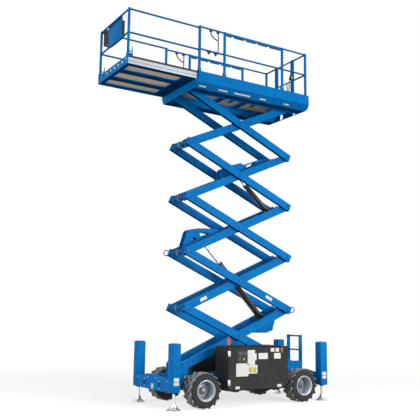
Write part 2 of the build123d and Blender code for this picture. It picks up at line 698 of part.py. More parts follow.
knee = floor_under - 42
toe_in = DECK_HALF - 76
REAR_CURVE = [(0, skirt_low + 75), (6, skirt_low + 45), (21, skirt_low + 18), (50, skirt_low)]
rear_edge = [(DECK_REAR + x, z) for x, z in REAR_CURVE]
SKIRT_SLOTS = ((1120, 1275), (610, 830), (60, 450), (-345, -185), (-955, -810))
ARM_WINDOW_Y = (INNER_ARM_Y - 8, INNER_ARM_Y + ARM_WIDTH + 8)


def side_pan():
    """The left side of the deck: toe board, sloping skirt, bottom flange and inner beam."""
    skirt = [
        (DECK_HALF, knee), (toe_in, skirt_low), (FLANGE_INNER_Y, skirt_low),
        (FLANGE_INNER_Y, skirt_low + PLATE), (toe_in - 4, skirt_low + PLATE), (DECK_HALF - PLATE, knee + 2),
    ]
    edge = [(DECK_HALF - PLATE, toe_top), (DECK_HALF, toe_top)]
    pan = end_plate(skirt + edge, DECK_REAR, DECK_FRONT)
    shelf = [(DECK_HALF - PLATE, floor_under), (DECK_HALF, floor_under)]
    pan += end_plate(skirt + shelf, DECK_FRONT - 1, FRONT_BEAM_X + PLATE)
    pan += block(DECK_REAR, DECK_FRONT, DECK_HALF - TOE_LIP, DECK_HALF - 1, toe_top - PLATE, toe_top)
    pan += block(DECK_REAR + 1, FRONT_BEAM_X + 1, beam_y0, beam_y1, skirt_low, floor_under)
    for x0, x1 in SKIRT_SLOTS:
        pan -= block(x0, x1, DECK_HALF - 60, DECK_HALF, skirt_low + 38, skirt_low + 62)
    for x in (-1000, 1000):
        pan += block(x, x + PLATE, beam_y1 - 1, toe_in, skirt_low + 1, floor_under)
    below = [(DECK_REAR - 1, skirt_low - 1), (DECK_REAR + 50, skirt_low - 1)]
    return pan - side_plate([(DECK_REAR - 1, rear_edge[0][1]), *rear_edge, *below[::-1]], 300, DECK_HALF + 1)


def end_shell():
    """The full-width plates that close the deck below its floor, front and rear."""
    section = [
        (-DECK_HALF + 1, floor_top), (-DECK_HALF + 1, knee), (1 - toe_in, skirt_low),
        (toe_in - 1, skirt_low), (DECK_HALF - 1, knee), (DECK_HALF - 1, floor_top),
    ]
    inside = [(x + PLATE, z + PLATE * (z < skirt_low + 75)) for x, z in rear_edge]
    curve = [(DECK_REAR, floor_top), *rear_edge, (DECK_REAR + 75, skirt_low)]
    back = [(DECK_REAR + 75, skirt_low + PLATE), *inside[::-1], (DECK_REAR + PLATE, floor_top)]
    rear = side_plate(curve + back, -DECK_HALF, DECK_HALF) & end_plate(section, DECK_REAR - 1, DECK_REAR + 80)
    for y0, y1 in (ARM_WINDOW_Y, (-ARM_WINDOW_Y[1], -ARM_WINDOW_Y[0])):
        rear -= block(DECK_REAR - 1, DECK_REAR + 90, y0, y1, skirt_low + 8, floor_under - 3)
    front = end_plate([(y, min(z, floor_under)) for y, z in section], FRONT_BEAM_X, FRONT_BEAM_X + PLATE)
    return rear + front


deck = both_sides(side_pan())
deck += end_shell()
deck += both_sides(channel(tip_z(LEVELS)))
bracket_y0 = outer_reach + PIN_HEAD + 4
bracket = along_y(FRONT_PIN_X, tip_z(LEVELS), bracket_y0, beam_y1, pivot_half)
bracket += block(FRONT_PIN_X - pivot_half, DECK_FRONT, bracket_y0, beam_y1, tip_z(LEVELS), floor_under)
bracket -= along_y(FRONT_PIN_X, tip_z(LEVELS), outer_reach, beam_y1 + 1, PIN_RADIUS + RUNNING_FIT)
deck -= both_sides(along_y(FRONT_PIN_X, tip_z(LEVELS), outer_reach, beam_y1 + 1, PIN_RADIUS + 8))
deck += both_sides(bracket)
for x in DECK_CROSS_BEAMS:
    deck += block(x - 47, x + 47, -beam_y0, beam_y0, floor_under - CROSS_BEAM_DEPTH, floor_under)
for y0, y1 in ((-DECK_HALF + 1, GATE_RIGHT_Y), (GATE_LEFT_Y, DECK_HALF - 1)):
    deck += block(DECK_REAR, DECK_REAR + PLATE, y0, y1, floor_under - 30, toe_top)
    deck += block(DECK_REAR, DECK_REAR + REAR_LIP, y0, y1, toe_top - PLATE, toe_top)
export("deck_frame", deck)

floor_half = DECK_HALF - PLATE - 0.5
floor_rear = DECK_REAR + PLATE + 0.5
export("deck_floor", block(floor_rear, DECK_FRONT, -floor_half, floor_half, floor_under, floor_top))

rail_y = DECK_HALF - POST_WIDTH / 2
top_z = floor_top + GUARD_HEIGHT - RAIL_RADIUS
mid_z = floor_top + MID_RAIL_HEIGHT
rear_x = DECK_REAR + REAR_RAIL_IN


def post(x, y, z0, z1):
    """A square guardrail post."""
    half = POST_WIDTH / 2
    return block(x - half, x + half, y - half, y + half, z0, z1)


NEAR_POSTS = (1295, 708, -753, rear_x)
FAR_POSTS = (1295, 708, -700, rear_x)
guard = []
for side, posts in ((1, NEAR_POSTS), (-1, FAR_POSTS)):
    for z in (top_z, mid_z):
        guard.append(along_x(side * rail_y, z, rear_x, posts[0], RAIL_RADIUS))
    for x in posts:
        guard.append(post(x, side * rail_y, toe_top, top_z + RAIL_RADIUS))
for y0, y1 in ((-rail_y, GATE_RIGHT_Y), (GATE_LEFT_Y, rail_y)):
    for z in (top_z, mid_z):
        guard.append(along_y(rear_x, z, y0, y1, RAIL_RADIUS))
for y in (GATE_RIGHT_Y, GATE_LEFT_Y):
    guard.append(post(rear_x, y, toe_top, top_z + RAIL_RADIUS))
for side, posts in ((1, NEAR_POSTS), (-1, FAR_POSTS)):
    doubler = block(posts[2], posts[1], rail_y - 14, rail_y + 14, top_z - 46, top_z)
    for count in range(4):
        doubler -= along_y(506 - count * 301, top_z - 60, rail_y - 20, rail_y + 20, 30)
    guard.append(doubler if side > 0 else flip(doubler))
gate_y0 = GATE_RIGHT_Y + POST_WIDTH + GATE_GAP
gate_y1 = GATE_LEFT_Y - POST_WIDTH - GATE_GAP
gate_hinge_x = rear_x + POST_WIDTH / 2 + GATE_HINGE_OUT
gate_hinge_y = GATE_RIGHT_Y + POST_WIDTH / 2 + GATE_GAP / 2
GATE_HINGES = (toe_top + 120, mid_z + 150)
for z in GATE_HINGES:
    guard.append(block(gate_hinge_x - 14, gate_hinge_x + 5, GATE_RIGHT_Y - 10, gate_hinge_y, z, z + 20))
    guard.append(upright(gate_hinge_x, gate_hinge_y, z, z + 62, 6))
guard = joined(guard)
export("main_guardrail", guard)

gate = []
for y in (gate_y0, gate_y1):
    gate.append(post(rear_x, y, toe_top + 10, top_z + RAIL_RADIUS))
for z in (toe_top + 40, mid_z, top_z):
    gate.append(along_y(rear_x, z, gate_y0, gate_y1, 16))
for z in GATE_HINGES:
    gate.append(block(gate_hinge_x - 14, gate_hinge_x, gate_hinge_y, gate_y0, z + 22, z + 58))
    gate.append(upright(gate_hinge_x, gate_hinge_y, z + 22, z + 58, 10))
gate = joined(gate)
for z in GATE_HINGES:
    gate -= upright(gate_hinge_x, gate_hinge_y, z + 20, z + 60, 6.3)
export("entry_gate", gate)

# ------------------------------------------------------------------ roll-out deck
rib_low = floor_top + 0.3
rib_high = rib_low + RIB_DEPTH
ext_floor_top = rib_high + FLOOR_SHEET
ext_toe_top = toe_top - PLATE - 8
ext_front_x = EXTENSION_FRONT - POST_WIDTH / 2
ext = None
for y in (-EXTENSION_HALF + 25, EXTENSION_HALF - 25):
    rib = block(EXTENSION_REAR, EXTENSION_FRONT - PLATE, y - 25, y + 25, rib_low, rib_high)
    ext = rib if ext is None else ext + rib
edge_rib_y = EXTENSION_HALF - EDGE_RIB_WIDTH / 2
for y, width in ((RIB_Y, RIB_WIDTH), (edge_rib_y, EDGE_RIB_WIDTH - 2)):
    y0, y1 = y - width / 2, y + width / 2
    ext += both_sides(block(EXTENSION_REAR, EXTENSION_FRONT - PLATE, y0, y1, rib_low + 5, rib_high))
nose_rib = (EXTENSION_FRONT - 85, EXTENSION_FRONT - 10)
for x0, x1 in ((EXTENSION_REAR, EXTENSION_REAR + REAR_RIB_WIDTH), nose_rib):
    ext += block(x0, x1, -EXTENSION_HALF + 1, EXTENSION_HALF - 1, rib_low + 5, rib_high)
for side in (-1, 1):
    y0, y1 = sorted((side * (EXTENSION_HALF - PLATE), side * EXTENSION_HALF))
    ext += block(EXTENSION_REAR, EXTENSION_FRONT, y0, y1, rib_low, ext_toe_top)
nose = block(EXTENSION_FRONT - PLATE, EXTENSION_FRONT, -EXTENSION_HALF, EXTENSION_HALF, rib_low, toe_top)
for count in range(8):
    y = -EXTENSION_HALF + 90 + count * (2 * EXTENSION_HALF - 180) / 7
    nose -= along_x(y, floor_top + 100, EXTENSION_FRONT - 20, EXTENSION_FRONT + 5, 25)
ext += nose
nose_x = EXTENSION_FRONT - 40
ext += block(nose_x, EXTENSION_FRONT, -EXTENSION_HALF, EXTENSION_HALF, toe_top - PLATE, toe_top)
export("extension_frame", ext)
sheet_half = EXTENSION_HALF - PLATE - 0.5
sheet_front = EXTENSION_FRONT - PLATE - 0.5
ext_sheet = block(EXTENSION_REAR, sheet_front, -sheet_half, sheet_half, rib_high, ext_floor_top)
export("extension_floor", ext_sheet)
ext_guard = []
for side, ext_post_xs in ((-1, (EXTENSION_REAR + 120, 2125)), (1, (EXTENSION_REAR + 60,))):
    y = side * EXTENSION_RAIL_Y
    for z in (top_z, mid_z):
        ext_guard.append(along_x(y, z, ext_post_xs[0], ext_front_x, RAIL_RADIUS))
    for x in ext_post_xs:
        ext_guard.append(post(x, y, ext_floor_top, top_z + RAIL_RADIUS))
    ext_guard.append(post(ext_front_x, y, toe_top, top_z + RAIL_RADIUS))
for z in (top_z, mid_z):
    ext_guard.append(along_y(ext_front_x, z, -EXTENSION_RAIL_Y, EXTENSION_RAIL_Y, RAIL_RADIUS))
for y in (-250, 250):
    ext_guard.append(post(ext_front_x, y, toe_top, top_z))
panel_x = ext_front_x - POST_WIDTH / 2
ext_guard.append(block(panel_x - 5, panel_x + 3, -340, 300, mid_z + 26, top_z - 26))
ext_guard = joined(ext_guard)
export("extension_guardrail", ext_guard)
tray = block(panel_x - 80, panel_x - 5.2, -300, 250, mid_z + 60, top_z - 60)
export("console_tray", tray)
control_y = -EXTENSION_RAIL_Y + RAIL_RADIUS + 0.2
control_x = EXTENSION_FRONT - 220
control = block(control_x, control_x + 160, control_y, control_y + 150, top_z - 290, top_z + 20)
export("control_box", control)
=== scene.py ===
import bpy
import bmesh
import json
from math import atan2, cos, pi, radians, sin
from mathutils import Matrix, Vector


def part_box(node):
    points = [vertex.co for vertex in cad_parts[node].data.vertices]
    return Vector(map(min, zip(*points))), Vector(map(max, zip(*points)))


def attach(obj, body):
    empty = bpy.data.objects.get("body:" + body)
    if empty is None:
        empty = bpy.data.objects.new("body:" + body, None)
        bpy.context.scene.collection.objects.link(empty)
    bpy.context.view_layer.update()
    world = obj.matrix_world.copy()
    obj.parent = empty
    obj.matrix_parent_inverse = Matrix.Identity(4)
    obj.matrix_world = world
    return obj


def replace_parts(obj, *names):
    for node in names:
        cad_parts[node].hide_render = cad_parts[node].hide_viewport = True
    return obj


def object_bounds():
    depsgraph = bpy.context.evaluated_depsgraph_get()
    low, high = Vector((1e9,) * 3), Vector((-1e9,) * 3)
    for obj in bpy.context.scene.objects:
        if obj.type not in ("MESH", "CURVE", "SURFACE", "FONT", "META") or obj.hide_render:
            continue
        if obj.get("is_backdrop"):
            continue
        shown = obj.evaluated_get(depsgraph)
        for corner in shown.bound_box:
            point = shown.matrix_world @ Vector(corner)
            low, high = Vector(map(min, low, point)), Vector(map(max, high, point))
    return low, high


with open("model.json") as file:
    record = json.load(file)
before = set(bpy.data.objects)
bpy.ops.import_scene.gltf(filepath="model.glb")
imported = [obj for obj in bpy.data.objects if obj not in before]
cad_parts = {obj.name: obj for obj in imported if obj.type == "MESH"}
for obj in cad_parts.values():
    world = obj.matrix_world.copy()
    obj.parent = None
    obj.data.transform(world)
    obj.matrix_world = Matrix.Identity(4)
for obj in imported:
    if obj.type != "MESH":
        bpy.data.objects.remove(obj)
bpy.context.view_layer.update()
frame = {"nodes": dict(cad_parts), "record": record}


# -------- the studio
# A pale floor under soft studio lamps. The floor shows white to the lens and to polish, fades to plain
# white away from the machine, and sends back little light, so the undersides of the deck stay deep.
def linear(code):
    """An sRGB hex colour as linear light."""
    parts = [int(code[i:i + 2], 16) / 255 for i in (1, 3, 5)]
    return [p / 12.92 if p <= 0.04045 else ((p + 0.055) / 1.055) ** 2.4 for p in parts] + [1.0]


def add(tree, kind, values={}, links={}, **settings):
    """Adds a shader node with its settings, socket values and links, each from a socket or a whole node."""
    made = tree.nodes.new(kind)
    for name, value in settings.items():
        setattr(made, name, value)
    for name, value in values.items():
        made.inputs[name].default_value = value
    for name, source in links.items():
        if isinstance(source, bpy.types.Node):
            source = next(output for output in source.outputs if output.enabled)
        tree.links.new(source, made.inputs[name])
    return made


def finish(name):
    """A new material with its node tree emptied, and its object coordinates."""
    made = bpy.data.materials.new(name)
    made.use_nodes = True
    made.node_tree.nodes.clear()
    return made, made.node_tree, add(made.node_tree, "ShaderNodeTexCoord").outputs["Object"]


def seen_rays(tree):
    """One for the rays of the lens, and of polish and glass that mirror the studio; zero for the rest."""
    path = add(tree, "ShaderNodeLightPath")
    known = path.outputs["Is Camera Ray"]
    for ray in ("Is Glossy Ray", "Is Transmission Ray"):
        known = add(tree, "ShaderNodeMath", {}, {0: known, 1: path.outputs[ray]}, operation="MAXIMUM")
    return known


WHITE = (1, 1, 1, 1)
FADE_FROM = 5.0
FADE_TO = 11.0
SHADE_HIDDEN = 0.68
FLOOR_HALF = 60
floor_finish, tree, place = finish("studio_floor")
seen = seen_rays(tree)
tone = add(
    tree, "ShaderNodeMix", {"A": linear("#7C7C7A"), "B": linear("#FFFFFE")}, {"Factor": seen},
    data_type="RGBA",
)
coat = add(tree, "ShaderNodeBsdfDiffuse", {"Roughness": 1.0}, {"Color": tone})
white = add(tree, "ShaderNodeEmission", {"Color": WHITE, "Strength": 1.0})
away = add(tree, "ShaderNodeVectorMath", {}, {0: place}, operation="LENGTH")
fade = add(
    tree, "ShaderNodeMapRange", {"From Min": FADE_FROM, "From Max": FADE_TO},
    {"Value": away.outputs["Value"]}, interpolation_type="SMOOTHSTEP",
)
# Close to the machine a third of the shade stays, so the tyres and feet stand on the ground.
fade = add(tree, "ShaderNodeMapRange", {"To Min": SHADE_HIDDEN}, {"Value": fade})
shown = add(tree, "ShaderNodeMath", {}, {0: fade, 1: seen}, operation="MULTIPLY")
cover = add(tree, "ShaderNodeMixShader", {}, {0: shown, 1: coat, 2: white})
add(tree, "ShaderNodeOutputMaterial", {}, {"Surface": cover})

scene = bpy.context.scene
sheet = bmesh.new()
bmesh.ops.create_grid(sheet, x_segments=1, y_segments=1, size=FLOOR_HALF)
ground = bpy.data.meshes.new("studio_floor")
sheet.to_mesh(ground)
floor = bpy.data.objects.new("studio_floor", ground)
ground.materials.append(floor_finish)
scene.collection.objects.link(floor)
floor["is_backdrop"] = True

world = bpy.data.worlds.new("studio_world")
world.use_nodes = True
tree = world.node_tree
tree.nodes.clear()
plain = add(tree, "ShaderNodeBackground", {"Color": linear("#EEF2F6"), "Strength": 0.5})
white = add(tree, "ShaderNodeBackground", {"Color": WHITE, "Strength": 1.0})
pick = add(tree, "ShaderNodeMixShader", {}, {0: seen_rays(tree), 1: plain, 2: white})
add(tree, "ShaderNodeOutputWorld", {}, {"Surface": pick})
scene.world = world

LAMPS = (
    # name, place, target, size, power
    ("key", (-3.5, 9.0, 3.5), (0, 0, 1.5), 4.0, 620),
    ("front", (12.0, 3.0, 3.0), (0, 0, 2.0), 6.0, 640),
    ("top", (0.0, 3.0, 16.0), (0, 0, 3.0), 8.0, 300),
)
for name, place, target, size, power in LAMPS:
    lamp = bpy.data.lights.new(name, "AREA")
    lamp.size = size
    lamp.energy = power
    holder = bpy.data.objects.new(name, lamp)
    holder.location = place
    holder.rotation_mode = "QUATERNION"
    holder.rotation_quaternion = (Vector(target) - Vector(place)).to_track_quat("-Z", "Y")
    scene.collection.objects.link(holder)

# The lens stands ahead and to the left of the machine at eye height, and looks up at the stack.
MIDDLE_X = -0.4875  # midway between the axles
EYE = Vector((7.2555, 11.605, 1.675))
MAST = Vector((MIDDLE_X, 0.0, 1.675))
HEADING_TURN = 0.035
PITCH = 0.156
ROLL = 0.012
FOCAL_LENGTH = 57.81
ahead = (MAST - EYE).normalized()
ahead.rotate(Matrix.Rotation(HEADING_TURN, 3, "Z"))
ahead = Vector((ahead.x * cos(PITCH), ahead.y * cos(PITCH), sin(PITCH)))
across = ahead.cross(Vector((0, 0, 1))).normalized()
upward = across.cross(ahead)
right = across * cos(ROLL) + upward * sin(ROLL)
upward = upward * cos(ROLL) - across * sin(ROLL)
lens = bpy.data.cameras.new("lens")
lens.lens = FOCAL_LENGTH
lens.sensor_width = 36
camera = bpy.data.objects.new("camera", lens)
camera.matrix_world = Matrix.Translation(EYE) @ Matrix((right, upward, -ahead)).transposed().to_4x4()
scene.collection.objects.link(camera)
scene.camera = camera
scene.view_settings.view_transform = "Standard"


# -------- chassis and outrigger beams
# A welded steel frame with a beam across each end that carries two square leg housings. It is blasted,
# welded, and powder coated one blue; the beams have plug welds, lifting bolts and blank plates.
def powder_coat(name, code, shade, rough, gloss, dust):
    """Baked powder coat on steel: soft orange-peel gloss, faint cloudy fade, grey dust low down and painted
    shade under.
    """
    made, tree, place = finish(name)
    # The fade drifts over 600 mm, and faint runs hang through it, 55 mm wide and 400 mm long.
    cloud = add(
        tree, "ShaderNodeTexNoise", {"Scale": 1.6, "Detail": 6.0, "Roughness": 0.6}, {"Vector": place}
    )
    streaks = add(tree, "ShaderNodeMapping", {"Scale": (9.0, 9.0, 1.2)}, {"Vector": place})
    runs = add(tree, "ShaderNodeTexNoise", {"Scale": 2.0, "Detail": 5.0}, {"Vector": streaks})
    both = add(tree, "ShaderNodeMath", {}, {0: cloud, 1: runs}, operation="MULTIPLY")
    depth = add(tree, "ShaderNodeMapRange", {"From Min": 0.12, "From Max": 0.42}, {"Value": both})
    paint = add(
        tree, "ShaderNodeMix", {"A": linear(shade), "B": linear(code)}, {"Factor": depth}, data_type="RGBA"
    )
    split = add(tree, "ShaderNodeSeparateXYZ", {}, {"Vector": place})
    low = add(
        tree, "ShaderNodeMapRange", {"From Min": 0.1, "From Max": 0.75, "To Min": dust, "To Max": 0.0},
        {"Value": split.outputs["Z"]},
    )
    grime = add(tree, "ShaderNodeMath", {}, {0: low, 1: runs}, operation="MULTIPLY")
    worn = add(
        tree, "ShaderNodeMix", {"B": linear("#8E897F")}, {"A": paint, "Factor": grime}, data_type="RGBA"
    )
    # Painted shade: faces that point down turn dark navy and lose their sheen, for the shade beneath the
    # parts.
    normal = add(tree, "ShaderNodeTexCoord").outputs["Normal"]
    way = add(tree, "ShaderNodeSeparateXYZ", {}, {"Vector": normal})
    under = add(
        tree, "ShaderNodeMapRange", {"From Min": -0.3, "From Max": -0.8, "To Max": 0.8},
        {"Value": way.outputs["Z"]},
    )
    # Painted shade: the dusty paint turns dark navy where the faces point down.
    worn = add(
        tree, "ShaderNodeMix", {"B": linear("#012C50")}, {"A": worn, "Factor": under}, data_type="RGBA"
    )
    sheen = add(
        tree, "ShaderNodeMapRange", {"From Max": 0.8, "To Min": gloss, "To Max": 0.0}, {"Value": under}
    )
    # The peel is 4 mm across, twice life, so that it still shows in a close view.
    peel = add(tree, "ShaderNodeTexNoise", {"Scale": 250.0, "Detail": 2.0}, {"Vector": place})
    skin = add(tree, "ShaderNodeBump", {"Strength": 0.06, "Distance": 0.001}, {"Height": peel})
    polish = add(
        tree, "ShaderNodeMapRange", {"To Min": rough + 0.08, "To Max": rough - 0.04}, {"Value": cloud}
    )
    shader = add(
        tree, "ShaderNodeBsdfPrincipled", {"IOR": 1.5},
        {"Base Color": worn, "Roughness": polish, "Specular IOR Level": sheen, "Normal": skin},
    )
    add(tree, "ShaderNodeOutputMaterial", {}, {"Surface": shader})
    return made


def mottled(name, dark, pale, scale, detail, rough, pits=None, **values):
    """Two tones that drift with one noise of scale cells a metre, and the haze too where rough is a pair.

    Pits are a second noise that dents the skin: its socket values, then the strength and depth in metres.
    """
    made, tree, place = finish(name)
    drift = add(tree, "ShaderNodeTexNoise", {"Scale": scale, "Detail": detail}, {"Vector": place})
    tone = add(
        tree, "ShaderNodeMix", {"A": linear(dark), "B": linear(pale)}, {"Factor": drift}, data_type="RGBA"
    )
    links = {"Base Color": tone}
    if isinstance(rough, tuple):
        span = {"To Min": rough[0], "To Max": rough[1]}
        links["Roughness"] = add(tree, "ShaderNodeMapRange", span, {"Value": drift})
    else:
        values["Roughness"] = rough
    if pits:
        noise, strength, depth = pits
        grit = add(tree, "ShaderNodeTexNoise", noise, {"Vector": place})
        links["Normal"] = add(
            tree, "ShaderNodeBump", {"Strength": strength, "Distance": depth}, {"Height": grit}
        )
    shader = add(tree, "ShaderNodeBsdfPrincipled", values, links)
    add(tree, "ShaderNodeOutputMaterial", {}, {"Surface": shader})
    return made


def middle(name):
    """The middle of a CAD piece's box."""
    return [(low + high) / 2 for low, high in zip(*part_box(name))]


def dress(paint, *names):
    """Gives CAD nodes their finish."""
    for name in names:
        slots = frame["nodes"][name].data.materials
        slots.clear()
        slots.append(paint)


def slab(form, near, far, soft=0.0):
    """Adds a block between any two opposite corners to a mesh, its edges rounded by soft."""
    low, high = [Vector([pick(pair) for pair in zip(near, far)]) for pick in (min, max)]
    size = Matrix.Diagonal((*(high - low), 1.0))
    made = bmesh.ops.create_cube(form, size=1.0, matrix=Matrix.Translation((low + high) / 2) @ size)
    if soft:
        edges = list({edge for corner in made["verts"] for edge in corner.link_edges})
        bmesh.ops.bevel(form, geom=edges, offset=soft, segments=2, profile=0.5, affect="EDGES", material=-1)


def block(form, centre, half, soft=0.0):
    """Adds a block about its centre, by its half sizes."""
    slab(form, Vector(centre) - Vector(half), Vector(centre) + Vector(half), soft)


def bar(form, start, end, radius, sides=20, tip=None, soft=0.0):
    """Adds a round bar from one point to another, its end edges rounded by soft."""
    start, end = Vector(start), Vector(end)
    turn = (end - start).to_track_quat("Z", "Y").to_matrix().to_4x4()
    made = bmesh.ops.create_cone(
        form, cap_ends=True, segments=sides, radius1=radius, radius2=radius if tip is None else tip,
        depth=(end - start).length, matrix=Matrix.Translation((start + end) / 2) @ turn,
    )
    if soft:
        corners = set(made["verts"])
        caps = [face for face in form.faces if len(face.verts) == sides and corners.issuperset(face.verts)]
        edges = list({edge for face in caps for edge in face.edges})
        bmesh.ops.bevel(form, geom=edges, offset=soft, segments=2, profile=0.5, affect="EDGES", material=-1)


def bolt(form, spot, out, size=0.012):
    """Adds a hexagon bolt head on its washer, at a spot and facing out."""
    spot, out = Vector(spot), Vector(out).normalized()
    bar(form, spot, spot + out * size * 0.25, size * 1.25, 16)
    bar(form, spot + out * size * 0.2, spot + out * size * 0.95, size, 6)


def piece(name, form, paint, body):
    """Turns a mesh into a finished piece that rides on a body."""
    bmesh.ops.recalc_face_normals(form, faces=form.faces)
    mesh = bpy.data.meshes.new(name)
    form.to_mesh(mesh)
    form.free()
    mesh.materials.append(paint)
    mesh.shade_smooth()
    mesh.set_sharp_from_angle(angle=radians(32))
    made = bpy.data.objects.new(name, mesh)
    scene.collection.objects.link(made)
    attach(made, body)
    return made


# Powder coat on steel: a satin blue that hides the metal and gives broad, soft highlights.
blue = powder_coat("blue_powder_coat", "#007FCC", "#0071B8", 0.5, 0.06, 0.04)
dress(blue, "chassis_frame", "outrigger_beam_front", "outrigger_beam_rear")

# Zinc-plated bolts: bright, slightly yellowed plating. Its grain is 11 mm, coarser than life, to show.
zinc = mottled("zinc_plated_steel", "#9FA19E", "#D9DAD6", 90.0, 4.0, (0.22, 0.42), Metallic=1.0)

# Vinyl plate: blank printed film, matt, and faintly yellowed by the sun in patches of 70 mm.
vinyl = mottled("blank_vinyl", "#D6D5CD", "#F1F1EC", 14.0, 5.0, 0.5)

# Moulded rubber: a deep matt black with a dusty bloom in patches of 45 mm.
# The same black paints the shade under the top rail and in the side board groove.
rubber = mottled("moulded_black_rubber_and_shade", "#0C0C0D", "#2A2A29", 22.0, 6.0, (0.5, 0.75), IOR=1.52)

SLEEVE_HALF = 0.090
BEAM_HALF = 0.077
FACE_BOLTS = ((0.290, 0.480), (0.300, 0.357), (0.160, 0.525), (0.590, 0.500))
for end, side in (("front", 1), ("rear", -1)):
    low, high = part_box(f"outrigger_beam_{end}")
    leg_x, leg_y, _ = middle(f"outrigger_leg_{end}_left")
    face_x = leg_x + side * BEAM_HALF
    fixings, plates, sleeves, caps, welds = [bmesh.new() for _ in range(5)]
    slab(plates, (face_x - 0.001, -0.030, 0.325), (face_x + side * 0.002, 0.056, 0.418))
    for turn in (1, -1):
        for y, z in FACE_BOLTS:
            bolt(fixings, (face_x, turn * y, z), (side, 0, 0), 0.013)
        y = turn * leg_y
        outer = turn * (leg_y + SLEEVE_HALF)
        for z0, z1 in ((0.512, 0.575), (0.440, 0.500)):
            slab(plates, (leg_x - 0.050, outer, z0), (leg_x + 0.052, outer + turn * 0.002, z1))
        slab(
            sleeves, (leg_x - SLEEVE_HALF, y - SLEEVE_HALF, low[2] + 0.002),
            (leg_x + SLEEVE_HALF, y + SLEEVE_HALF, high[2] + 0.004), 0.020,
        )
        bar(caps, (leg_x, y, low[2]), (leg_x, y, low[2] - 0.016), 0.040, 28, soft=0.004)
        block(caps, (leg_x, y, high[2] + 0.005), (0.064, 0.064, 0.003), 0.003)
        for z in (0.62, 0.86):
            bolt(welds, (leg_x + side * SLEEVE_HALF, y, z), (side, 0, 0), 0.009)
    piece(f"beam_bolts_{end}", fixings, zinc, "chassis")
    piece(f"beam_plates_{end}", plates, vinyl, "chassis")
    piece(f"housing_sleeves_{end}", sleeves, blue, "chassis")
    piece(f"housing_caps_{end}", caps, rubber, "chassis")
    piece(f"housing_fixings_{end}", welds, blue, "chassis")

# -------- outrigger legs
# Four screw-out legs, each a plated tube welded to a pressed cone foot. Zinc plating: bright, dulled at
# the foot where it stands on the ground. Its spangles are 18 mm, coarser than life, to show, and the
# soil lies in spots of 33 mm.
plated, tree, place = finish("zinc_plated_leg")
spangle = add(tree, "ShaderNodeTexVoronoi", {"Scale": 55.0}, {"Vector": place})
soil = add(tree, "ShaderNodeTexNoise", {"Scale": 30.0, "Detail": 6.0}, {"Vector": place})
split = add(tree, "ShaderNodeSeparateXYZ", {}, {"Vector": place})
# Soil clings to the lowest 90 mm of the foot.
low = add(
    tree, "ShaderNodeMapRange", {"From Min": 0.0, "From Max": 0.09, "To Min": 0.4, "To Max": 0.0},
    {"Value": split.outputs["Z"]},
)
stain = add(tree, "ShaderNodeMath", {}, {0: low, 1: soil}, operation="MULTIPLY")
tone = add(
    tree, "ShaderNodeMix", {"A": linear("#D6D7D4"), "B": linear("#F6F6F3")},
    {"Factor": spangle.outputs["Distance"]}, data_type="RGBA",
)
dirty = add(tree, "ShaderNodeMix", {"B": linear("#8C857A")}, {"A": tone, "Factor": stain}, data_type="RGBA")
haze = add(tree, "ShaderNodeMapRange", {"To Min": 0.28, "To Max": 0.65}, {"Value": stain})
shader = add(tree, "ShaderNodeBsdfPrincipled", {"Metallic": 0.85}, {"Base Color": dirty, "Roughness": haze})
add(tree, "ShaderNodeOutputMaterial", {}, {"Surface": shader})

for end in ("front", "rear"):
    for side in ("left", "right"):
        leg = f"outrigger_leg_{end}_{side}"
        dress(plated, leg)
        x, y, _ = middle(leg)
        foot = bmesh.new()
        bar(foot, (x, y, 0.098), (x, y, 0.124), 0.038, 24, soft=0.004)
        bar(foot, (x, y, 0.124), (x, y, 0.138), 0.033, 6)
        for turn in range(3):
            angle = turn * 2 * pi / 3 + 0.5
            bolt(foot, (x + 0.108 * cos(angle), y + 0.108 * sin(angle), 0.022), (0, 0, 1), 0.008)
        piece(f"foot_collar_{end}_{side}", foot, plated, leg)

# -------- axles and steering
# Cast and welded axle beams, forged knuckles and a drop tie rod, sprayed chassis black and left rough.
# Cast iron: a sand-cast skin with pits of 17 mm, coarser than life, and dull, rusty patches of 140 mm.
iron = mottled(
    "chassis_black_casting", "#141416", "#35332F", 7.0, 5.0, 0.62,
    pits=({"Scale": 60.0, "Detail": 6.0, "Roughness": 0.7}, 0.25, 0.002),
)
dress(iron, "front_axle", "rear_axle", "knuckle_left", "knuckle_right", "tie_rod")

# Hydraulic hose: extruded black rubber with a soft sheen. Its cloth print is 6 mm, twice life, to show.
hose = mottled("hydraulic_hose_rubber", "#101011", "#272728", 160.0, 3.0, 0.45)


def hose_run(name, points, radius, paint, body):
    """A short hose or cord along a smooth line, that one body holds at both ends."""
    line = bpy.data.curves.new(name, "CURVE")
    line.dimensions = "3D"
    line.bevel_depth = radius
    line.bevel_resolution = 3
    line.use_fill_caps = True
    run = line.splines.new("NURBS")
    run.points.add(len(points) - 1)
    for knot, spot in zip(run.points, points):
        knot.co = (*spot, 1.0)
    run.order_u = 3
    run.use_endpoint_u = True
    run.resolution_u = 8
    line.materials.append(paint)
    made = bpy.data.objects.new(name, line)
    scene.collection.objects.link(made)
    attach(made, body)
    return made


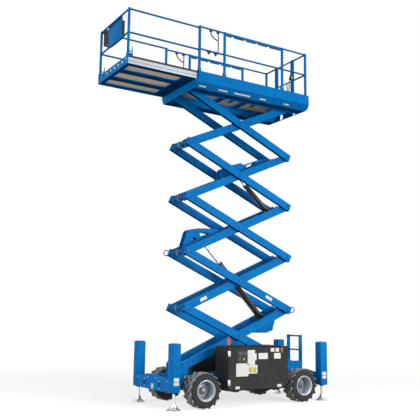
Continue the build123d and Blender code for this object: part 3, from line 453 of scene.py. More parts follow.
# The drive and brake lines drop from a manifold on the rail to the front axle.
HOSE_RADIUS = 0.009
HOSE_PITCH = 0.035
axle_x = middle("front_axle")[0]
manifold = bmesh.new()
slab(manifold, (axle_x + 0.075, 0.396, 0.455), (axle_x + 0.215, 0.452, 0.545), 0.004)
slab(manifold, (axle_x - 0.060, 0.396, 0.475), (axle_x + 0.060, 0.436, 0.550), 0.004)
piece("drive_manifold", manifold, zinc, "chassis")
fittings = bmesh.new()
outlets = [axle_x + 0.092 + step * HOSE_PITCH for step in range(4)]
for x in outlets:
    bar(fittings, (x, 0.425, 0.455), (x, 0.425, 0.425), 0.011, 6)
    bar(fittings, (x, 0.425, 0.545), (x, 0.425, 0.572), 0.012, 12)
piece("manifold_fittings", fittings, zinc, "chassis")
for step, x in enumerate(outlets):
    fan = 0.012 * step
    hose_run(
        f"drive_hose_{step + 1}",
        [
            (x, 0.425, 0.440), (x, 0.425, 0.395), (x - 0.02, 0.432, 0.350), (axle_x + 0.06, 0.430, 0.318),
            (axle_x + 0.03, 0.400 + fan, 0.350), (axle_x, 0.375 + fan, 0.375),
        ],
        HOSE_RADIUS, hose, "chassis",
    )

# -------- wheels
# Foam-filled lug tyres on one-piece dished steel rims. The lugs are scuffed pale with dust and the
# walls stay black. The rims are silver, ten studs each, with a cap pressed into the hub.
def lug_rubber(name, centre):
    """Tyre rubber about one wheel centre: dusty pale lugs, deep grooves and a clean black wall."""
    made, tree, place = finish(name)
    hub = add(tree, "ShaderNodeMapping", {"Location": [-part for part in centre]}, {"Vector": place})
    flat = add(tree, "ShaderNodeVectorMath", {1: (1.0, 0.0, 1.0)}, {0: hub}, operation="MULTIPLY")
    reach = add(tree, "ShaderNodeVectorMath", {}, {0: flat}, operation="LENGTH")
    # Dust gathers in patches of 38 mm, from the groove floor at 298 mm to the lug tops at 330 mm.
    tread = add(
        tree, "ShaderNodeMapRange", {"From Min": 0.298, "From Max": 0.326},
        {"Value": reach.outputs["Value"]}, interpolation_type="SMOOTHSTEP",
    )
    dust = add(
        tree, "ShaderNodeTexNoise", {"Scale": 26.0, "Detail": 8.0, "Roughness": 0.7}, {"Vector": place}
    )
    patch = add(
        tree, "ShaderNodeMapRange", {"From Min": 0.30, "From Max": 0.62, "To Min": 0.35}, {"Value": dust}
    )
    cover = add(tree, "ShaderNodeMath", {}, {0: tread, 1: patch}, operation="MULTIPLY")
    wall = add(
        tree, "ShaderNodeMix", {"A": linear("#161617"), "B": linear("#2B2B2A")},
        {"Factor": dust}, data_type="RGBA",
    )
    tone = add(
        tree, "ShaderNodeMix", {"B": linear("#BDBCB7")}, {"A": wall, "Factor": cover}, data_type="RGBA"
    )
    scuff = add(tree, "ShaderNodeBump", {"Strength": 0.3, "Distance": 0.002}, {"Height": dust})
    shader = add(
        tree, "ShaderNodeBsdfPrincipled", {"Roughness": 0.78, "IOR": 1.52},
        {"Base Color": tone, "Normal": scuff},
    )
    add(tree, "ShaderNodeOutputMaterial", {}, {"Surface": shader})
    return made


# Silver wheel enamel: sprayed thickly and smooth, with a flake of 5 mm, coarser than life, to show, and
# a film of mud in patches of 80 mm.
silver, tree, place = finish("silver_wheel_enamel")
flake = add(tree, "ShaderNodeTexNoise", {"Scale": 200.0, "Detail": 2.0}, {"Vector": place})
film = add(tree, "ShaderNodeTexNoise", {"Scale": 12.0, "Detail": 6.0}, {"Vector": place})
tone = add(
    tree, "ShaderNodeMix", {"A": linear("#9DA5AE"), "B": linear("#C9D0D7")},
    {"Factor": film}, data_type="RGBA",
)
haze = add(tree, "ShaderNodeMapRange", {"To Min": 0.30, "To Max": 0.48}, {"Value": flake})
shader = add(tree, "ShaderNodeBsdfPrincipled", {"Metallic": 0.35}, {"Base Color": tone, "Roughness": haze})
add(tree, "ShaderNodeOutputMaterial", {}, {"Surface": shader})

# Yellow chromate: a greenish gold passivation on plated steel, duller in the 22 mm marks of fingers.
chromate = mottled("yellow_chromate_cap", "#8C7A3A", "#C2AE62", 45.0, 4.0, 0.38, Metallic=0.8)

# Primer: brushed-on grey over the cast hub, satin and uneven in patches of 29 mm.
hub_grey = mottled("hub_primer_grey", "#585E64", "#7C838A", 35.0, 5.0, 0.5)

SIDES = (("left", 1), ("right", -1))
STUDS = 10
STUD_CIRCLE = 0.104
RINGS = (
    # name, finish, slot, outline as (radius, distance out from the wheel's middle)
    ("rim_flange", silver, "rim_paint", (
        (0.166, 0.128), (0.170, 0.150), (0.186, 0.159), (0.193, 0.157), (0.194, 0.150),
    )),
    ("bead_ring", rubber, "tyre_rubber", ((0.204, 0.148), (0.210, 0.1525), (0.220, 0.1525), (0.226, 0.148))),
)
for end in ("front", "rear"):
    for side, turn in SIDES:
        name = f"{end}_{side}"
        wheel = f"wheel_{name}"
        centre = middle(f"tyre_{name}")
        x, y, z = centre
        dress(lug_rubber(f"dusty_lug_rubber_{name}", centre), f"tyre_{name}")
        dress(silver, f"rim_{name}")
        studs = bmesh.new()
        for count in range(STUDS):
            angle = count * 2 * pi / STUDS
            spot = (x + STUD_CIRCLE * cos(angle), y - turn * 0.006, z + STUD_CIRCLE * sin(angle))
            bolt(studs, spot, (0, turn, 0), 0.0105)
        bar(studs, (x + 0.150, y + turn * 0.010, z), (x + 0.150, y + turn * 0.055, z), 0.005, 10)
        piece(f"wheel_studs_{name}", studs, zinc, wheel)
        cap = bmesh.new()
        bar(cap, (x, y + turn * 0.010, z), (x, y + turn * 0.052, z), 0.064, 36, soft=0.006)
        bar(cap, (x, y + turn * 0.050, z), (x, y + turn * 0.058, z), 0.040, 30, soft=0.003)
        piece(f"hub_cap_{name}", cap, hub_grey, wheel)
        plug = bmesh.new()
        bar(plug, (x, y + turn * 0.056, z), (x, y + turn * 0.064, z), 0.028, 28, soft=0.003)
        bar(plug, (x, y + turn * 0.062, z), (x, y + turn * 0.068, z), 0.011, 6)
        piece(f"hub_plug_{name}", plug, chromate if end == "front" else hub_grey, wheel)
        for ring, paint, slot, outline in RINGS:
            form = bmesh.new()
            line = [form.verts.new((x + radius, y + turn * out, z)) for radius, out in outline]
            line += [form.edges.new(pair) for pair in zip(line, line[1:])]
            bmesh.ops.spin(
                form, geom=line, cent=centre, axis=(0, 1, 0), angle=2 * pi, steps=72, use_merge=True
            )
            piece(f"{ring}_{name}", form, paint, wheel)

# -------- side covers, doors and beacon
# Two sheet-steel boxes hang on the chassis rails, each closed by one swing-out door. Textured black
# powder coat; the left door has the ground control recess, blank plates, rivets and zinc hinges.
black = powder_coat("textured_black_coat", "#29292A", "#1D1D1E", 0.58, 0.25, 0.06)
dress(black, "side_cover_left", "side_cover_right", "side_door_left", "side_door_right")

# Engine enamel: heat-dulled dark grey with oily patches of 110 mm.
enamel = mottled("engine_enamel", "#2A2B2C", "#4B4B48", 9.0, 7.0, (0.3, 0.7))
dress(enamel, "engine_block")

# Amber polycarbonate: a glossy dyed lens, faintly clouded every 12 mm, with fine upright flutes.
amber = mottled("amber_polycarbonate", "#B83A04", "#E86F18", 80.0, 2.0, 0.12, IOR=1.58)
dress(amber, "beacon")
lamp_low, lamp_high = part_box("beacon")
lamp_x, lamp_y, _ = middle("beacon")
FLUTES = 18
flutes = bmesh.new()
for count in range(FLUTES):
    angle = count * 2 * pi / FLUTES
    x, y = lamp_x + 0.032 * cos(angle), lamp_y + 0.032 * sin(angle)
    bar(flutes, (x, y, lamp_low[2] + 0.035), (x, y, lamp_high[2] - 0.006), 0.0022, 8)
piece("beacon_flutes", flutes, amber, "chassis")
base = bmesh.new()
bar(base, (lamp_x, lamp_y, lamp_low[2]), (lamp_x, lamp_y, lamp_low[2] + 0.034), 0.043, 32, soft=0.004)
piece("beacon_base", base, rubber, "chassis")

# Safety-yellow film: flat printed squares that carry no sign, faded in patches of 25 mm.
yellow = mottled("safety_yellow_film", "#B5A315", "#D8C62A", 40.0, 4.0, 0.5)

HINGE_HEIGHTS = (0.430, 0.960)
# Distances from the door's rear edge forwards, and from its lower edge up.
BLANK_PLATES = (
    (0.797, 0.972, 0.462, 0.744), (0.759, 0.798, 0.554, 0.679), (0.951, 1.227, 0.259, 0.500),
    (0.739, 0.952, 0.306, 0.466), (0.493, 0.710, 0.571, 0.685), (0.332, 0.422, 0.705, 0.775),
    (0.220, 0.301, 0.705, 0.775), (0.180, 0.342, 0.572, 0.679), (1.148, 1.242, 0.032, 0.081),
    (0.163, 0.264, 0.035, 0.086),
)
YELLOW_SQUARES = ((0.765, 0.835, 0.325, 0.425), (0.860, 0.935, 0.325, 0.425))
for side, turn in SIDES:
    body = f"side_door_{side}"
    low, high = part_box(body)
    face = high[1] if turn > 0 else low[1]
    front = high[0] - 0.003
    leaves = bmesh.new()
    for z in HINGE_HEIGHTS:
        slab(leaves, (front - 0.062, face, z - 0.030), (front - 0.006, face + turn * 0.003, z + 0.070), 0.001)
        for rise in (-0.015, 0.055):
            bolt(leaves, (front - 0.040, face + turn * 0.003, z + rise), (0, turn, 0), 0.006)
    piece(f"door_hinge_leaves_{side}", leaves, zinc, body)
    latch = bmesh.new()
    x = low[0] + 0.055
    slab(latch, (x - 0.025, face, 0.640), (x + 0.025, face + turn * 0.006, 0.760), 0.003)
    slab(latch, (x - 0.013, face + turn * 0.006, 0.665), (x + 0.013, face + turn * 0.014, 0.735), 0.003)
    piece(f"door_latch_{side}", latch, rubber, body)
    rivets = bmesh.new()
    start, pitch = (0.585, 0.034) if side == "left" else (0.2, 0.06)
    for count in range(9):
        x, z = low[0] + start + pitch * count, low[2] + 0.767
        bar(rivets, (x, face, z), (x, face + turn * 0.004, z), 0.007, 12)
    piece(f"door_rivets_{side}", rivets, rubber, body)
    seam = bmesh.new()
    for rear, rise in ((0.028, 0.785), (0.150, 0.018)):
        slab(
            seam, (low[0] + rear, face, low[2] + rise),
            (front - 0.028, face + turn * 0.0025, low[2] + rise + 0.006), 0.001,
        )
    piece(f"door_seam_{side}", seam, black, body)

low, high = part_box("side_door_left")
skin = high[1]
for name, spots, paint, slot, base, top in (
    ("door_blank_plates", BLANK_PLATES, vinyl, "rim_paint", 0.0, 0.0015),
    ("door_yellow_squares", YELLOW_SQUARES, yellow, "amber_lens", 0.0010, 0.0025),
):
    labels = bmesh.new()
    for x0, x1, z0, z1 in spots:
        slab(labels, (low[0] + x0, skin + base, low[2] + z0), (low[0] + x1, skin + top, low[2] + z1))
    piece(name, labels, paint, "side_door_left")
reflector = bmesh.new()
slab(reflector, (low[0] + 0.128, skin, low[2] + 0.690), (low[0] + 0.169, skin + 0.006, low[2] + 0.775), 0.003)
piece("door_reflector", reflector, amber, "side_door_left")
# The ground control: a framed black panel with a dial row, a key switch and two toggles.
FRAME = 0.012
panel = bmesh.new()
x0, x1, z0, z1 = low[0] + 0.971, low[0] + 1.210, low[2] + 0.505, low[2] + 0.747
for a, b, c, d in (
    (x0, z0, x1, z0 + FRAME), (x0, z1 - FRAME, x1, z1),
    (x0, z0 + FRAME, x0 + FRAME, z1 - FRAME), (x1 - FRAME, z0 + FRAME, x1, z1 - FRAME),
):
    slab(panel, (a, skin, b), (c, skin + 0.008, d), 0.002)
slab(panel, (x0 + FRAME, skin, z0 + FRAME), (x1 - FRAME, skin + 0.002, z1 - FRAME))
piece("ground_control_panel", panel, rubber, "side_door_left")
knobs = bmesh.new()
for x, z, radius in (
    (0.055, 0.175, 0.020), (0.118, 0.185, 0.014), (0.178, 0.175, 0.022), (0.170, 0.085, 0.013),
    (0.205, 0.080, 0.013),
):
    bar(knobs, (x0 + x, skin + 0.001, z0 + z), (x0 + x, skin + 0.012, z0 + z), radius, 20, soft=0.002)
piece("ground_control_knobs", knobs, hub_grey, "side_door_left")
key = bmesh.new()
x, z = x0 + 0.090, z0 + 0.070
bar(key, (x, skin + 0.001, z), (x, skin + 0.016, z), 0.020, 24, soft=0.004)
piece("ground_control_stop", key, yellow, "side_door_left")

for side, turn in SIDES:
    cover_low, cover_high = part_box(f"side_cover_{side}")
    front = cover_high[0] - 0.014
    inner, outer = (cover_low[1], cover_high[1])[::turn]
    skids = bmesh.new()
    for x in (cover_low[0] + 0.26, front - 0.22):
        slab(
            skids, (x - 0.05, inner + turn * 0.06, cover_low[2] - 0.028),
            (x + 0.05, outer - turn * 0.03, cover_low[2] + 0.001), 0.004,
        )
    piece(f"cover_skids_{side}", skids, rubber, "chassis")
    lip = bmesh.new()
    slab(
        lip, (cover_low[0] + 0.16, inner + turn * 0.02, cover_high[2] - 0.001),
        (front - 0.10, outer - turn * 0.004, cover_high[2] + 0.012), 0.006,
    )
    piece(f"cover_roof_ridge_{side}", lip, black, "chassis")
    louvres = bmesh.new()
    for step in range(6):
        z = 0.560 + step * 0.050
        slab(
            louvres, (front - 0.001, inner + turn * 0.12, z),
            (front + 0.006, inner + turn * 0.36, z + 0.016), 0.002,
        )
    piece(f"cover_louvres_{side}", louvres, black, "chassis")

# -------- hydraulic tank
# A folded-steel oil tank ahead of the right cover, with a splash guard behind the front wheel. Welded,
# coated the same textured black, with a filler cap and strap bands.
cover_low, cover_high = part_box("side_cover_right")
tank_x = MIDDLE_X + 0.665
tank = bmesh.new()
slab(tank, (cover_high[0] - 0.01, -0.780, 0.455), (tank_x, -0.405, 0.865), 0.018)
for x in (cover_high[0] + 0.10, tank_x - 0.11):
    slab(tank, (x - 0.018, -0.783, 0.452), (x + 0.018, -0.402, 0.868), 0.018)
bar(tank, (tank_x - 0.20, -0.60, 0.862), (tank_x - 0.20, -0.60, 0.900), 0.042, 28, soft=0.006)
slab(tank, (tank_x - 0.01, -0.432, 0.680), (tank_x + 0.360, -0.418, 0.830), 0.003)
for x in (tank_x + 0.02, tank_x + 0.33):
    slab(tank, (x, -0.422, 0.560), (x + 0.03, -0.402, 0.700), 0.003)
piece("hydraulic_tank", tank, black, "chassis")

# -------- ladder
# Two flat stiles and three round rungs welded to the rear cross beam, blue like the chassis. Each rung
# has a strip of black grip tape, and the stiles have plastic end caps.
dress(blue, "ladder")
low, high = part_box("ladder")
ladder_x = middle("ladder")[0]
RUNG_HEIGHTS = (0.695, 0.990, 1.280)
grips = bmesh.new()
for z in RUNG_HEIGHTS:
    bar(grips, (ladder_x, -0.165, z), (ladder_x, 0.165, z), 0.0155, 20)
piece("rung_grips", grips, rubber, "chassis")
caps = bmesh.new()
for y in (low[1] + 0.010, high[1] - 0.010):
    block(caps, (ladder_x, y, high[2] - 0.001), (0.041, 0.011, 0.005), 0.003)
piece("stile_caps", caps, rubber, "chassis")

# -------- scissor stack
# Five crossed pairs of rectangular steel tubes on full-width pins. Tubes, brackets and pins are blue;
# the pins have keeper plates, and each tip tube has black bearing collars and a grease block.
rows = {row["name"]: row for row in frame["record"]["behaviour"]["joints"]}
joints = {name: Vector(row["pos_m"]) for name, row in rows.items() if "pos_m" in row}
top_level = sum(name.startswith("cross_") for name in joints)
front_x = joints["lift"].x
rear_x = 2 * joints["cross_1"].x - front_x
base_z = joints["lift"].z
rise = joints["tip_1"].z - base_z
along = Vector((front_x - rear_x, 0, -rise)).normalized()
for level in range(1, top_level + 1):
    dress(blue, f"inner_frame_{level}", f"outer_frame_{level}", f"pivot_pins_{level}")
dress(blue, "pivot_pin_top")

# Oil-filled nylon: cast, near black and half matt, rolled shinier in patches of 20 mm.
# The same black paints the shade in the pin bores.
nylon = mottled("oil_filled_nylon_and_bore_shade", "#151517", "#2E2E31", 50.0, 3.0, 0.4, IOR=1.53)
dress(nylon, "rollers_lower", "rollers_upper")

# Moulded plastic: a paler blue than the paint, smooth, and a little chalky in patches of 33 mm.
pale_blue = mottled("pale_blue_plastic", "#1468AE", "#2A7FC4", 30.0, 4.0, 0.45)

outer_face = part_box("outer_frame_1")[1][1]
inner_face = outer_face - 0.091
COLLARS = (-0.135, -0.060, 0.060, 0.135)
KEEPER_REACH = 0.050
for level in range(1, top_level + 1):
    z0 = base_z + (level - 1) * rise
    front_tip = Vector((front_x, 0, z0))
    rear_tip = Vector((rear_x, 0, z0 + rise))
    collars = bmesh.new()
    for tip in (front_tip, rear_tip):
        for y in COLLARS:
            bar(collars, (tip.x, y - 0.012, tip.z), (tip.x, y + 0.012, tip.z), 0.0565, 28, soft=0.003)
    piece(f"tip_collars_{level}", collars, rubber, f"inner_arms_{level}")
    blocks = bmesh.new()
    # The deck comes down close over the topmost tip, so that one goes without a block.
    for tip in (front_tip, rear_tip)[:1 if level == top_level else 2]:
        block(blocks, tip, (0.058, 0.035, 0.058), 0.006)
    piece(f"grease_blocks_{level}", blocks, pale_blue, f"inner_arms_{level}")

    # The lowest tip turns inside the chassis rails and the highest runs under the deck: both stay bare.
    low_tip = Vector((rear_x, 0, z0))
    high_tip = Vector((front_x, 0, z0 + rise))
    lie = (high_tip - low_tip).normalized()
    heads = [(low_tip, 1), ((low_tip + high_tip) / 2, 1), (high_tip, -1)]
    heads = heads[1 if level == 1 else 0:2 if level == top_level else 3]
    keepers, bore_shades = bmesh.new(), bmesh.new()
    for spot, way in heads:
        for turn in (1, -1):
            at = spot + lie * way * KEEPER_REACH + Vector((0, turn * (outer_face + 0.001), 0))
            slab(keepers, at + Vector((-0.020, 0, -0.016)), at + Vector((0.020, turn * 0.005, 0.016)), 0.002)
            bolt(keepers, at + Vector((0, turn * 0.005, 0)), (0, turn, 0), 0.008)
            # Painted shade: a flat dark disc on each pin end stands for the shade in its bore.
            at = spot + Vector((0, turn * (outer_face + 0.012), 0))
            bar(bore_shades, at, at + Vector((0, turn * 0.003, 0)), 0.013, 16)
    piece(f"pin_keepers_{level}", keepers, blue, f"outer_arms_{level}")
    piece(f"pin_bore_shades_{level}", bore_shades, nylon, f"outer_arms_{level}")

# Blank plates on the arms of the second level, one near a front tip and one near a rear tip.
back = Vector((along.x, 0, -along.z))
rear_tip = Vector((rear_x, 0, base_z + rise))
for name, body, half_long, half_high, y, spot, lie in (
    ("front", "inner_arms_2", 0.080, 0.030, inner_face, joints["tip_1"] - along * 0.456, along),
    ("rear", "outer_arms_2", 0.085, 0.028, outer_face, rear_tip + back * 0.570, back),
):
    plate = bmesh.new()
    slab(plate, (-half_long, -0.001, -half_high), (half_long, 0.0015, half_high))
    spot = spot + Vector((0, y, 0))
    turned = Matrix.Translation(spot) @ Matrix.Rotation(atan2(-lie.z, lie.x), 4, "Y")
    bmesh.ops.transform(plate, matrix=turned, verts=plate.verts)
    piece(f"arm_plate_{name}", plate, vinyl, body)

# Two short hose loops where the lines cross a tip, each held at both ends by the same arms.
HOSE_LOOPS = (
    # name, tip, points about that tip
    ("front", (front_x, 0, base_z + 2 * rise), (
        (0.047, -0.320, 0.040), (0.100, -0.340, 0.062), (0.148, -0.345, 0.036), (0.158, -0.345, -0.010),
        (0.130, -0.340, -0.050), (0.085, -0.325, -0.058), (0.045, -0.315, -0.040),
    )),
    ("rear", (rear_x, 0, base_z + rise), (
        (-0.045, 0.320, 0.045), (-0.095, 0.340, 0.062), (-0.145, 0.345, 0.042), (-0.158, 0.345, -0.005),
        (-0.130, 0.340, -0.050), (-0.085, 0.325, -0.060), (-0.042, 0.315, -0.043),
    )),
)
for name, tip, steps in HOSE_LOOPS:
    points = [Vector(tip) + Vector(step) for step in steps]
    hose_run(f"tip_hose_{name}", points, HOSE_RADIUS, hose, "outer_arms_2")

# -------- lift cylinders
# Two welded barrels in gloss black with threaded gland nuts, and hard-chromed rods ground mirror smooth.
# Gloss enamel: sprayed wet, near black, with lazy reflections that waver every 80 mm.
gloss_black = mottled("gloss_black_enamel", "#0E0E10", "#222225", 12.0, 5.0, (0.18, 0.34))
# Hard chrome: ground steel plated mirror bright, with grinding haze of 8 mm, coarser than life, to show.
chrome = mottled("hard_chrome", "#B4B8BC", "#DADDE0", 120.0, 3.0, (0.08, 0.16), Metallic=1.0)
for name, radius, length in (("lower", 0.057, 1.805), ("upper", 0.050, 0.868)):
    barrel = f"lift_barrel_{name}"
    dress(gloss_black, barrel)
    dress(chrome, f"lift_rod_{name}")
    lie = Vector(rows[f"cylinder_stroke_{name}"]["axis"]).normalized()
    square = Vector((lie.z, 0, -lie.x))
    foot = joints[f"cylinder_swing_{name}"]
    gland = foot + lie * length
    low_port, high_port = foot + lie * 0.13, gland - lie * 0.11
    bands, ports, pipe = [bmesh.new() for _ in range(3)]
    bar(bands, gland - lie * 0.040, gland - lie * 0.004, radius + 0.009, 8)
    bar(bands, gland - lie * 0.060, gland - lie * 0.040, radius + 0.004, 32)
    bar(bands, foot + lie * 0.080, foot + lie * 0.110, radius + 0.006, 32, soft=0.003)
    piece(f"gland_nut_{name}", bands, gloss_black, barrel)
    for port in (low_port, high_port):
        bar(ports, port, port + square * (radius + 0.022), 0.014, 12)
    piece(f"cylinder_ports_{name}", ports, zinc, barrel)
    side = square * (radius + 0.016)
    bar(pipe, low_port + side, high_port + side, 0.007, 12)
    piece(f"cylinder_pipe_{name}", pipe, gloss_black, barrel)

# -------- deck
# A folded-plate pan in blue over welded cross beams, floored with phenolic-faced plywood that shows tan
# from below. Plates of the floor are bolted down, and the toe boards have black edge trim at the gate.
dress(blue, "deck_frame")


def ply_board(name, pale, dark, streak):
    """Phenolic-faced birch ply: tan film over fine grain that runs fore and aft, with worn streaks."""
    made, tree, place = finish(name)
    # Grain lines are 17 mm apart across the board, coarser than life, to show, and 330 mm long.
    lay = add(tree, "ShaderNodeMapping", {"Scale": (3.0, 60.0, 60.0)}, {"Vector": place})
    grain = add(tree, "ShaderNodeTexNoise", {"Scale": 1.0, "Detail": 6.0, "Roughness": 0.6}, {"Vector": lay})
    wide = add(tree, "ShaderNodeMapping", {"Scale": (0.9, 7.0, 7.0)}, {"Vector": place})
    wear = add(tree, "ShaderNodeTexNoise", {"Scale": 1.0, "Detail": 5.0}, {"Vector": wide})
    tone = add(
        tree, "ShaderNodeMix", {"A": linear(dark), "B": linear(pale)}, {"Factor": grain}, data_type="RGBA"
    )
    band = add(
        tree, "ShaderNodeMapRange", {"From Min": 0.50, "From Max": 0.68, "To Max": 0.6}, {"Value": wear}
    )
    worn = add(tree, "ShaderNodeMix", {"B": linear(streak)}, {"A": tone, "Factor": band}, data_type="RGBA")
    nap = add(tree, "ShaderNodeBump", {"Strength": 0.15, "Distance": 0.001}, {"Height": grain})
    shader = add(tree, "ShaderNodeBsdfPrincipled", {"Roughness": 0.55}, {"Base Color": worn, "Normal": nap})
    add(tree, "ShaderNodeOutputMaterial", {}, {"Surface": shader})
    return made


floor_ply = ply_board("deck_plywood", "#F0CBA0", "#CDA67E", "#A8A29A")
tan_ply = ply_board("extension_plywood", "#F8D6B0", "#DDBB98", "#C4B6A8")
dress(floor_ply, "deck_floor")
dress(tan_ply, "extension_floor")

deck_low, deck_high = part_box("deck_frame")
floor_low, floor_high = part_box("deck_floor")
# Distances forwards from the machine's middle, and for the screws across it too.
SCREWS_ALONG = (-1.35, -0.85, -0.35, 0.15, 0.65, 1.15)
SCREWS_ACROSS = (-0.66, -0.22, 0.22, 0.66)
SKIRT_SLOTS = ((1.120, 1.275), (0.610, 0.830), (0.060, 0.450), (-0.345, -0.185), (-0.955, -0.810))
STIFFENERS = (0.03, -0.53, -0.98)
# Distances forwards from the pan's rear edge.
TOE_BOLTS = (0.055, 0.62, 1.30, 2.05, 2.70)
screws = bmesh.new()
for x in SCREWS_ALONG:
    for y in SCREWS_ACROSS:
        spot = Vector((MIDDLE_X + x, y, floor_high[2]))
        bar(screws, spot - Vector((0, 0, 0.001)), spot + Vector((0, 0, 0.0002)), 0.009, 14)
piece("floor_screws", screws, zinc, "platform")
skirt = bmesh.new()
for turn in (1, -1):
    for x in TOE_BOLTS:
        for rise in (0.105, 0.045):
            spot = (deck_low[0] + x, turn * (deck_high[1] - 0.0005), floor_high[2] + rise)
            bolt(skirt, spot, (0, turn, 0), 0.008)
piece("toe_board_bolts", skirt, blue, "platform")
sill = bmesh.new()
x, z = deck_low[0], floor_high[2]
slab(sill, (x + 0.004, -0.300, z), (x + 0.050, 0.250, z + 0.005), 0.002)
piece("gate_sill_strip", sill, rubber, "platform")
# Ply ends show through the slots of both skirts, which lean in 31 degrees.
SKIRT_LEAN = atan2(0.076, 0.125)
packers = bmesh.new()
for x0, x1 in SKIRT_SLOTS:
    for turn in (1, -1):
        size = Matrix.Diagonal((x1 - x0 - 0.001, 0.003, 0.027, 1.0))
        spot = (MIDDLE_X + (x0 + x1) / 2, turn * (deck_high[1] - 0.048), deck_low[2] + 0.052)
        leant = Matrix.Translation(spot) @ Matrix.Rotation(-turn * SKIRT_LEAN, 4, "X")
        bmesh.ops.create_cube(packers, size=1.0, matrix=leant @ size)
piece("skirt_ply_packers", packers, tan_ply, "platform")
under = bmesh.new()
for x in STIFFENERS:
    block(under, (MIDDLE_X + x, 0, floor_low[2] - 0.011), (0.020, 0.175, 0.011), 0.002)
piece("deck_stiffeners", under, blue, "platform")

# -------- guardrails and gate
# Round-tube rails welded to square posts, folded down by hinge plates at the feet and held by pins on
# lanyards. All blue, with black plastic post caps and short safety cords in their holders.
dress(blue, "main_guardrail", "entry_gate")
POST_HALF = 0.020
RAIL_RADIUS = 0.018
rail_low, rail_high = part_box("main_guardrail")
top_z = rail_high[2] - RAIL_RADIUS
mid_z = floor_high[2] + 0.625
toe_z = floor_high[2] + 0.165
rail_y = rail_high[1] - POST_HALF
feet, pins, caps = [bmesh.new() for _ in range(3)]
# The rear post is set a little further back on the near side.
REAR_POSTS = {1: -0.753, -1: -0.700}
for turn, rear_post in REAR_POSTS.items():
    for x in (1.295, 0.708, rear_post):
        x += MIDDLE_X
        slab(
            feet, (x - 0.034, turn * (rail_y - 0.026), toe_z),
            (x + 0.034, turn * (rail_y + 0.022), toe_z + 0.070), 0.004,
        )
        bolt(pins, (x, turn * (rail_y + 0.022), toe_z + 0.046), (0, turn, 0), 0.009)
    block(caps, (rail_low[0] + POST_HALF, turn * rail_y, rail_high[2]), (0.021, 0.021, 0.004), 0.003)
piece("post_feet", feet, blue, "platform")
piece("post_pins", pins, zinc, "platform")
piece("post_caps", caps, rubber, "platform")

# Braided polyester cord: soft, matt and dark blue, its plait drawn 7 mm wide, twice life, to show.
braid = mottled("braided_safety_cord", "#062B50", "#0F4A80", 140.0, 3.0, 0.8)
x = MIDDLE_X + 0.860
for side, turn in SIDES:
    y = turn * (rail_y - 0.004)
    hang = ((0.180, 0.010), (0.182, 0.060), (0.150, 0.135), (0.080, 0.180), (0.020, 0.195), (0, 0.200))
    points = [(x + ahead, y, top_z - drop) for ahead, drop in hang]
    hose_run(f"rail_cord_{side}", points, 0.013, braid, "platform")
    hanger = bmesh.new()
    bar(hanger, (x, y, top_z - 0.008), (x, y, mid_z + 0.012), 0.011, 14)
    piece(f"rail_cord_guide_{side}", hanger, braid, "platform")
    clips = bmesh.new()
    for shift in (0.060, 0.220):
        block(clips, (x + shift, y, mid_z - 0.022), (0.046, 0.014, 0.008), 0.003)
        bar(clips, (x + shift, y, mid_z - 0.028), (x + shift, y, mid_z - 0.072), 0.034, 16, tip=0.012)
    for shift in (0.010, 0.180):
        block(clips, (x + shift, y, top_z - 0.032), (0.030, 0.016, 0.018), 0.004)
    piece(f"rail_cord_clips_{side}", clips, rubber, "platform")

# Painted shade: black strips under the doubled top rail, between its four scallops, stand for its shade.
SCALLOPS = (0.506, 0.205, -0.096, -0.397)
edging = bmesh.new()
for turn, rear_post in REAR_POSTS.items():
    y = turn * rail_y
    ends = [0.690, *SCALLOPS, rear_post + 0.018]
    for start, stop in zip(ends, ends[1:]):
        x0, x1 = MIDDLE_X + stop + 0.036, MIDDLE_X + start - 0.036
        slab(edging, (x0, y - 0.017, top_z - 0.056), (x1, y + 0.017, top_z - 0.040), 0.003)
piece("top_rail_shade_strips", edging, rubber, "platform")

gate_low, gate_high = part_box("entry_gate")
x, edge = gate_low[0] + POST_HALF, gate_high[1]
latch, strike = bmesh.new(), bmesh.new()
slab(latch, (x + 0.021, edge - 0.070, mid_z + 0.020), (x + 0.040, edge - 0.002, mid_z + 0.100), 0.004)
bar(latch, (x + 0.030, edge - 0.036, mid_z + 0.10), (x + 0.030, edge - 0.036, mid_z + 0.15), 0.008, 14)
piece("gate_latch", latch, rubber, "entry_gate")
slab(strike, (x + 0.021, edge + 0.010, mid_z + 0.030), (x + 0.032, edge + 0.042, mid_z + 0.090), 0.002)
piece("gate_strike", strike, zinc, "platform")
hang = ((0.150, 0.018), (0.155, 0.130), (0.130, 0.220), (0.085, 0.225), (0.070, 0.130), (0.075, 0.018))
points = [(x + 0.03, edge - inward, mid_z - drop) for inward, drop in hang]
hose_run("gate_cord", points, 0.011, braid, "entry_gate")

# -------- roll-out deck
# A second frame that rolls forward inside the main deck: blue ribs under ply, and a pale aluminium side
# board with a black wear strip that slides in the pan. Its nose plate has a row of round holes.
dress(blue, "extension_frame")
# Mill aluminium: extruded and left bare, pale and hazy. Its die lines run the length of the board, 9 mm
# apart, coarser than life, to show.
mill, tree, place = finish("mill_aluminium")
lay = add(tree, "ShaderNodeMapping", {"Scale": (1.5, 1.0, 110.0)}, {"Vector": place})
lines = add(tree, "ShaderNodeTexNoise", {"Scale": 1.0, "Detail": 5.0}, {"Vector": lay})
tone = add(
    tree, "ShaderNodeMix", {"A": linear("#B4BEC8"), "B": linear("#D6DDE4")},
    {"Factor": lines}, data_type="RGBA",
)
haze = add(tree, "ShaderNodeMapRange", {"To Min": 0.34, "To Max": 0.52}, {"Value": lines})
shader = add(tree, "ShaderNodeBsdfPrincipled", {"Metallic": 0.45}, {"Base Color": tone, "Roughness": haze})
add(tree, "ShaderNodeOutputMaterial", {}, {"Surface": shader})
ext_low, ext_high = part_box("extension_frame")
ply_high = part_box("extension_floor")[1]
board_x0 = ext_low[0] + 0.110
board_x1 = ext_high[0] - 0.008
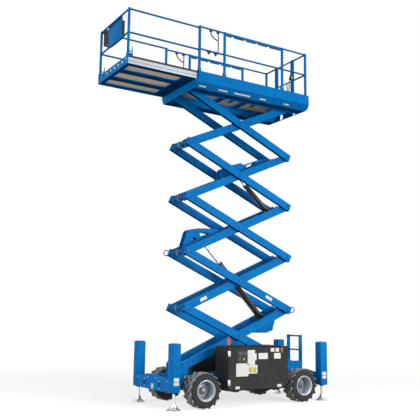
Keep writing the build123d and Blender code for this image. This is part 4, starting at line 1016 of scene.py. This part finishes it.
for side, turn in SIDES:
    inner, deep, outer = [turn * (ext_high[1] + out) for out in (-0.0005, -0.010, 0.003)]
    board, strip = bmesh.new(), bmesh.new()
    for z0, z1 in ((0.001, 0.052), (0.060, 0.118)):
        slab(board, (board_x0, inner, ext_low[2] + z0), (board_x1, outer, ext_low[2] + z1), 0.001)
    piece(f"side_board_{side}", board, mill, "extension")
    # Painted shade: a flush black band fills the 8 mm groove between the board's halves, for its shade.
    slab(strip, (board_x0, inner, ext_low[2] + 0.052), (board_x1, outer, ext_low[2] + 0.060))
    # The strip stops 1 mm under the deck's top lip, so that it still slides in below it.
    slab(strip, (board_x0 - 0.04, deep, ext_low[2] + 0.119), (board_x1, outer, ext_high[2] - 0.007), 0.001)
    piece(f"wear_strip_and_groove_shade_{side}", strip, rubber, "extension")
grip = bmesh.new()
for y in (-0.5, -0.25, 0.0, 0.25, 0.5):
    z = ply_high[2]
    slab(grip, (ext_low[0] + 0.20, y - 0.02, z), (ext_high[0] - 0.10, y + 0.02, z + 0.0015))
piece("grip_strips", grip, rubber, "extension")

# The far side has its rear post straight behind the main one, and the near side just inside it.
guard_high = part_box("extension_guardrail")[1]
guard_y = guard_high[1] - POST_HALF
guard_top = guard_high[2]
nose_x = guard_high[0] - POST_HALF
guard, caps, feet, rods = [bmesh.new() for _ in range(4)]
for turn, rear_post in ((1, ext_low[0] + 0.022), (-1, ext_low[0] + 0.070)):
    y = turn * guard_y
    for z in (top_z, mid_z):
        bar(guard, (rear_post, y, z), (nose_x, y, z), RAIL_RADIUS, 24)
    for x, foot_z in ((rear_post, ply_high[2]), (nose_x, toe_z)):
        slab(
            guard, (x - POST_HALF, y - POST_HALF, foot_z), (x + POST_HALF, y + POST_HALF, guard_top), 0.003
        )
    block(caps, (nose_x, y, guard_top), (0.021, 0.021, 0.004), 0.003)
    slab(feet, (nose_x - 0.030, y - 0.030, toe_z - 0.002), (nose_x + 0.030, y + 0.030, toe_z + 0.045), 0.004)
    slab(feet, (nose_x - 0.100, y - 0.010, toe_z - 0.002), (nose_x - 0.020, y + 0.010, toe_z + 0.060), 0.006)
    # A locking rod stands behind each nose post.
    bar(rods, (nose_x - 0.085, y, toe_z - 0.015), (nose_x - 0.085, y, toe_z + 0.190), 0.009, 14, soft=0.003)
    slab(rods, (nose_x - 0.094, y - 0.008, toe_z + 0.085), (nose_x - 0.015, y + 0.008, toe_z + 0.105), 0.003)
for z in (top_z, mid_z):
    bar(guard, (nose_x, -guard_y, z), (nose_x, guard_y, z), RAIL_RADIUS, 24)
SHIELD_ENDS = (-0.340, 0.300)
slab(guard, (nose_x - 0.025, SHIELD_ENDS[0], mid_z), (nose_x - 0.017, SHIELD_ENDS[1], top_z), 0.002)
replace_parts(piece("nose_guardrail", guard, blue, "extension"), "extension_guardrail")
piece("nose_post_caps", caps, rubber, "extension")
piece("nose_post_feet", feet, blue, "extension")
piece("nose_post_locks", rods, blue, "extension")

# -------- platform controls
# Two moulded boxes behind a blue shield plate: the console tray and the control box with its stick,
# its rocker switches and a yellow stop button. They hang on the nose guardrail and slide out with it.
# Glass-filled nylon: moulded black, half matt, with a grit of 6 mm, coarser than life, to show.
moulded = mottled(
    "textured_black_nylon", "#070708", "#141416", 180.0, 3.0, 0.5,
    pits=({"Scale": 180.0, "Detail": 3.0}, 0.2, 0.001), IOR=1.53,
)
dress(moulded, "console_tray", "control_box")
edging = bmesh.new()
for y in SHIELD_ENDS:
    slab(edging, (nose_x - 0.028, y - 0.006, mid_z + 0.02), (nose_x - 0.014, y + 0.006, top_z - 0.02), 0.002)
piece("shield_edging", edging, rubber, "extension")
low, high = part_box("console_tray")
lid = bmesh.new()
slab(lid, (low[0] - 0.002, low[1] + 0.01, high[2] - 0.004), (high[0], high[1] - 0.01, high[2] + 0.006), 0.003)
slab(lid, (low[0] - 0.008, -0.10, high[2] - 0.060), (low[0] + 0.001, 0.05, high[2] - 0.035), 0.003)
piece("tray_lid", lid, moulded, "extension")
low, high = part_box("control_box")
y, top = (low[1] + high[1]) / 2, high[2]
stick, stop = bmesh.new(), bmesh.new()
x = low[0] + 0.050
bar(stick, (x, y, top - 0.002), (x, y, top + 0.014), 0.026, 28, tip=0.016)
bar(stick, (x, y, top + 0.012), (x, y, top + 0.020), 0.010, 16)
x = low[0] + 0.105
for shift in (-0.035, 0.035):
    block(stick, (x, y + shift, top + 0.0025), (0.010, 0.015, 0.0035), 0.002)
piece("control_stick", stick, rubber, "extension")
x = low[0] + 0.140
bar(stop, (x, y, top - 0.001), (x, y, top + 0.010), 0.016, 24, soft=0.003)
piece("control_stop", stop, yellow, "extension")

low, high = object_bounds()
